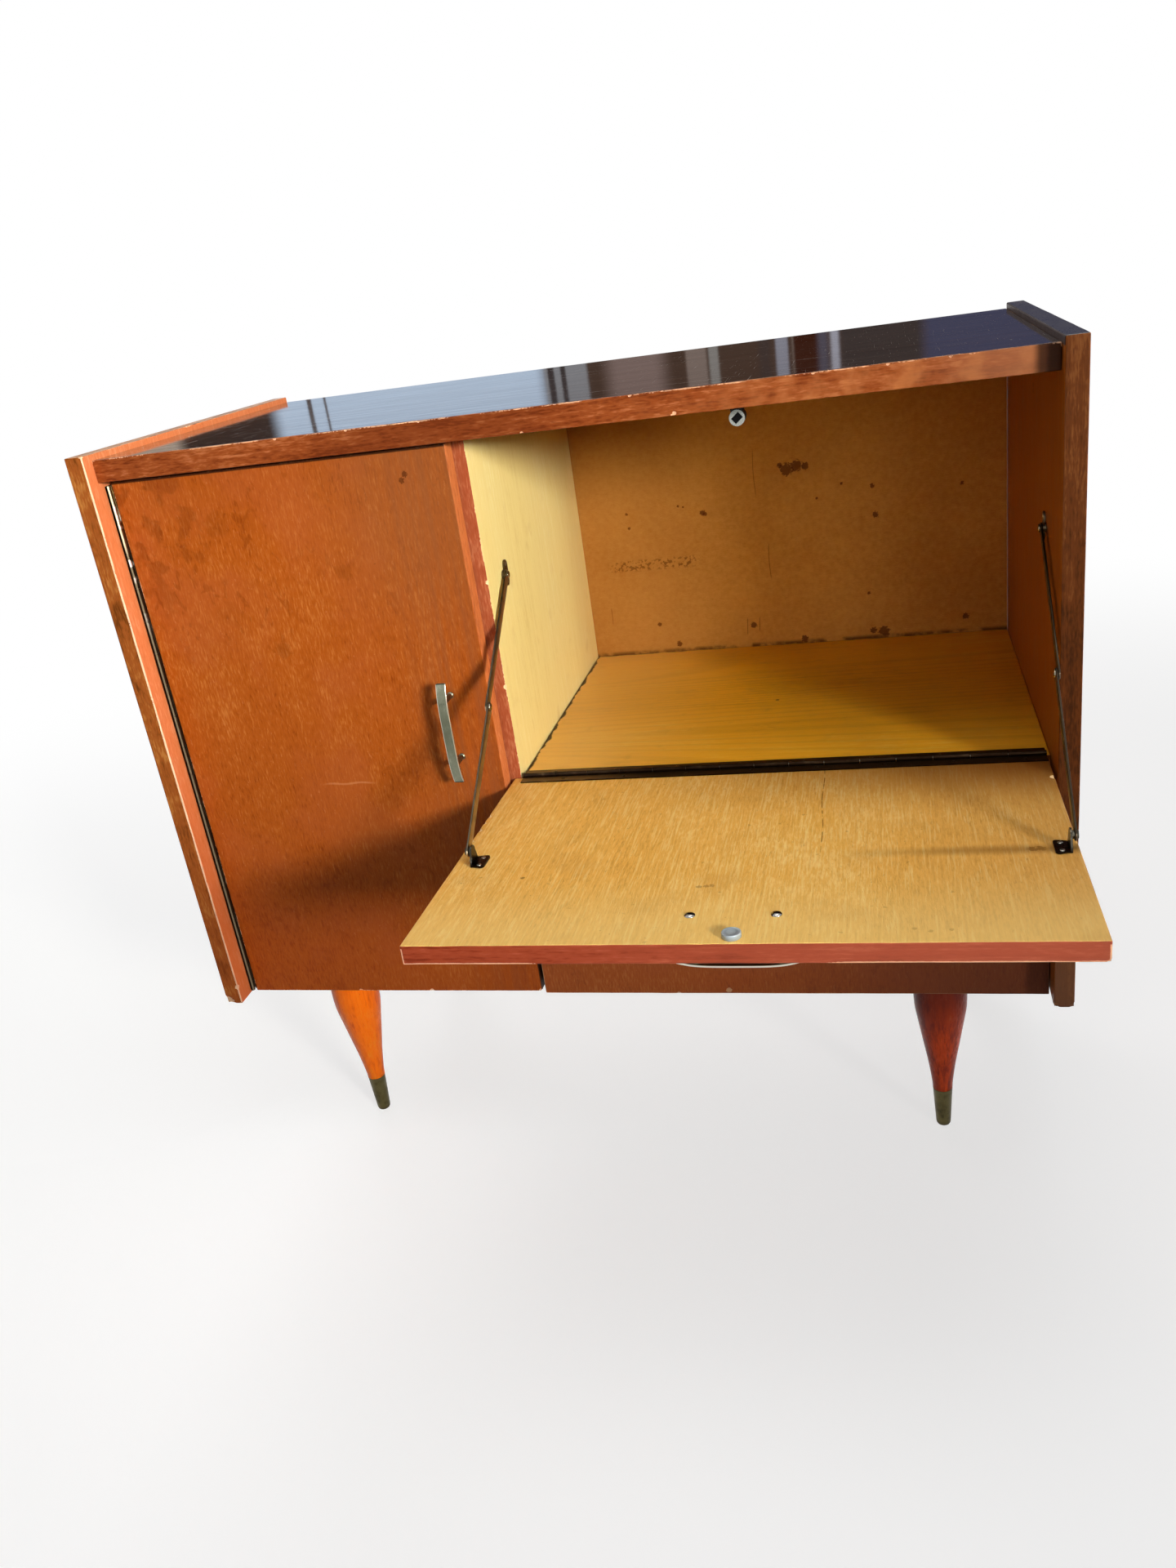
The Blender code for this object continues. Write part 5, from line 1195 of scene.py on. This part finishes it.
# Stays: two folding arms of flat steel on each side, riveted at the elbow, between an oval plate on the
# wall and a small bracket on the flap. The plates are bronzed and the flap's brackets blackened. The arms
# are nickelled and worn dull; the right arms are a darker copy of that metal, painted shade.
def arm_steel(name, base, shade, bright):
    """An arm's metal, dark on its narrow edges."""
    made = metal(name, base, shade, bright, gloss=0.36, axis=0, brush=0.6, tarnish=0.8, seed=91.0)
    made.cover(abs(made.along(1)).rise(0.0040, 0.0048) * 0.85, "241C12")
    return made.done(0.00004)


# Painted shade: the right arms take a darker copy of the left arms' metal.
arm_metal = {"left": arm_steel("stay_arm_steel", "AC9C80", "66583F", "DCD0B8"),
             "right": arm_steel("stay_shaded_arm_steel", "5A4E40", "2C251D", "A09480")}
plate_metal = metal("stay_bronzed_steel", "5A4E3C", "241E16", "98896C", gloss=0.32, axis=2, tarnish=1.1,
                    seed=92.0).done(0.00005)
rivet_metal = metal("stay_rivet_steel", "B0AA98", "6A6454", "F0EEE4", gloss=0.25, axis=2, tarnish=0.5,
                    seed=93.0).done(0.00003)
worn_ear = metal("stay_ear_steel", "3E3A32", "1E1B17", "94907F", gloss=0.3, axis=2, tarnish=0.8, seed=94.0)
foot_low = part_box("left_stay_flap_bracket")[0].z
worn_ear.cover(worn_ear.along(2).fall(foot_low + 0.0035, foot_low + 0.0050) * 0.85, "1C1812")
ear_metal = worn_ear.done(0.00004)
ARM_HALF = 0.005
ARM_ROUND = 0.0006
ARC_STEPS = 14
HEAD_RIM = 0.0002
RIVET_SIDES = 36


def bar_mesh(name, length, thickness):
    """A flat arm from z 0 to its thickness, its eyes at x 0 and x length, with rounded rims."""
    rims = [(0.0, ARM_ROUND), (ARM_ROUND * 0.3, ARM_ROUND * 0.3), (ARM_ROUND, 0.0)]
    rims += [(thickness - height, inset) for height, inset in rims[::-1]]
    points, faces = [], []
    for height, inset in rims:
        radius = ARM_HALF - inset
        for centre, start in ((length, -math.pi / 2), (0.0, math.pi / 2)):
            for step in range(ARC_STEPS + 1):
                turn = start + math.pi * step / ARC_STEPS
                points.append((centre + radius * math.cos(turn), radius * math.sin(turn), height))
    count = 2 * (ARC_STEPS + 1)
    for layer in range(len(rims) - 1):
        for index in range(count):
            a, b = layer * count + index, layer * count + (index + 1) % count
            faces.append((a, b, b + count, a + count))
    faces.append(tuple(range(count))[::-1])
    faces.append(tuple((len(rims) - 1) * count + index for index in range(count)))
    mesh = flat_mesh(name, points, faces)
    mesh.shade_smooth()
    mesh.set_sharp_from_angle(angle=math.radians(50.0))
    return mesh


def dome_mesh(name, radius, height, depth):
    """A rivet's domed head on a short shank."""
    shank = radius * 0.5
    below = [(radius, -HEAD_RIM), (shank, -HEAD_RIM), (shank, -depth), (0.0, -depth)]
    return turned_mesh(name, dome_line(radius, height) + below, RIVET_SIDES)


ELBOW_RADIUS = 0.0036
ELBOW_DOME = 0.0010
ELBOW_SHANK = 0.0022
WALL_RIVET_RADIUS = 0.0034
WALL_RIVET_DOME = 0.0007
WALL_RIVET_SHANK = 0.0004
WALL_SCREW_BACK = 0.0095
WALL_SCREW_SHIFT = 0.0085
BRACKET_THICKNESS = 0.0015
FLAP_SCREW_INSET = 0.0052
FLAP_SCREW_SHIFT = 0.0068
for side, into in (("left", 1.0), ("right", -1.0)):
    wall_pivot = axis_of[f"{side}_stay_wall_pivot"]
    flap_pivot = axis_of[f"{side}_stay_flap_pivot"]
    elbow = middle(f"{side}_stay_elbow_rivet")
    for arm, start, end in (("upper", wall_pivot, elbow), ("lower", flap_pivot, elbow)):
        node = f"{side}_stay_{arm}_arm"
        low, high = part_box(node)
        near_x, thickness = (low.x if into > 0 else high.x), high.x - low.x
        run = Vector((0.0, end.y - start.y, end.z - start.z))
        turn = axes(run.normalized(), Vector((into, 0.0, 0.0)).cross(run.normalized()))
        matrix = Matrix.Translation((near_x, start.y, start.z)) @ turn
        bar = shown(f"{side}_stay_{arm}_bar", bar_mesh(node, run.length, thickness), [arm_metal[side]],
                    matrix)
        stands_for(bar, node, f"{side}_{arm}_arm")
    low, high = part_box(f"{side}_stay_elbow_rivet")
    far_x = high.x if into > 0 else low.x
    head = shown(f"{side}_stay_elbow_head", dome_mesh("elbow_head", ELBOW_RADIUS, ELBOW_DOME, ELBOW_SHANK),
                 [rivet_metal], facing((far_x - into * ELBOW_DOME, elbow.y, elbow.z), (into, 0, 0)))
    stands_for(head, f"{side}_stay_elbow_rivet", f"{side}_lower_arm")
    finished(f"{side}_stay_wall_bracket", plate_metal)
    finished(f"{side}_stay_flap_bracket", ear_metal)
    low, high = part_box(f"{side}_stay_wall_bracket")
    head_x = high.x if into > 0 else low.x
    fasten(f"{side}_stay_wall_rivet_head",
           dome_mesh("wall_head", WALL_RIVET_RADIUS, WALL_RIVET_DOME, WALL_RIVET_SHANK), rivet_metal,
           facing((head_x, wall_pivot.y, wall_pivot.z), (into, 0, 0)), "carcass")
    plate_x = (low.x if into > 0 else high.x) + into * BRACKET_THICKNESS
    for end, shift, turn in (("upper", WALL_SCREW_SHIFT, 1.365), ("lower", -WALL_SCREW_SHIFT, -0.165)):
        place = (plate_x, wall_pivot.y + WALL_SCREW_BACK, wall_pivot.z + shift)
        fasten(f"{side}_stay_wall_screw_{end}", small_screw, nickel_screw, facing(place, (into, 0, 0), turn),
               "carcass")
    base_low, base_high = box_in(f"{side}_stay_flap_bracket", flap_frame)
    screw_x = (base_high.x if into > 0 else base_low.x) - into * FLAP_SCREW_INSET
    pivot_y = (flap_frame.inverted() @ flap_pivot).y
    for end, shift, turn in (("near", FLAP_SCREW_SHIFT, 0.612), ("far", -FLAP_SCREW_SHIFT, -0.612)):
        place = (screw_x, pivot_y + shift, base_low.z + BRACKET_THICKNESS)
        fasten(f"{side}_stay_flap_screw_{end}", small_screw, nickel_screw,
               flap_frame @ facing(place, (0, 0, 1), turn), "flap")


# Drawer: a pine box with a hardboard bottom behind a teak-veneered front, on two wooden runners. Only
# its front's lower edge shows below the open flap, painted darker for the flap's shade, more so on the right.
drawer_teak = worn(front_teak("drawer_veneer", 101.0), amount=0.35)
# Painted shade from the flap: darker overall and darker still towards the right.
drawer_teak.cover(0.45, "74402E")
drawer_teak.cover(drawer_teak.along(0).rise(0.08, 0.40) * 0.6, "462A22")
drawer_board = worn_board("drawer_front_board", drawer_low, drawer_high, drawer_teak.done(0.00012),
                          {"left": shaded_teak, "right": shaded_teak, "top": shaded_teak},
                          chips=[((0.118, drawer_low.y, drawer_low.z + 0.004), 0.004, 0.0007),
                                 ((0.065, drawer_low.y, drawer_low.z), 0.003, 0.0006)])
stands_for(drawer_board, "drawer_front", "drawer")
base_board = Finish("drawer_hardboard", 0.0, 0.3)
pressed = base_board.clouds(240.0, 4.0, 1.0)
base_board.colour = base_board.mix(pressed.rise(0.3, 0.7), "7C5530", "9C7044")
base_board.roughness = (pressed - 0.5) * 0.2 + 0.68
base_board.height = pressed
finished("drawer_bottom", base_board.done(0.0001))
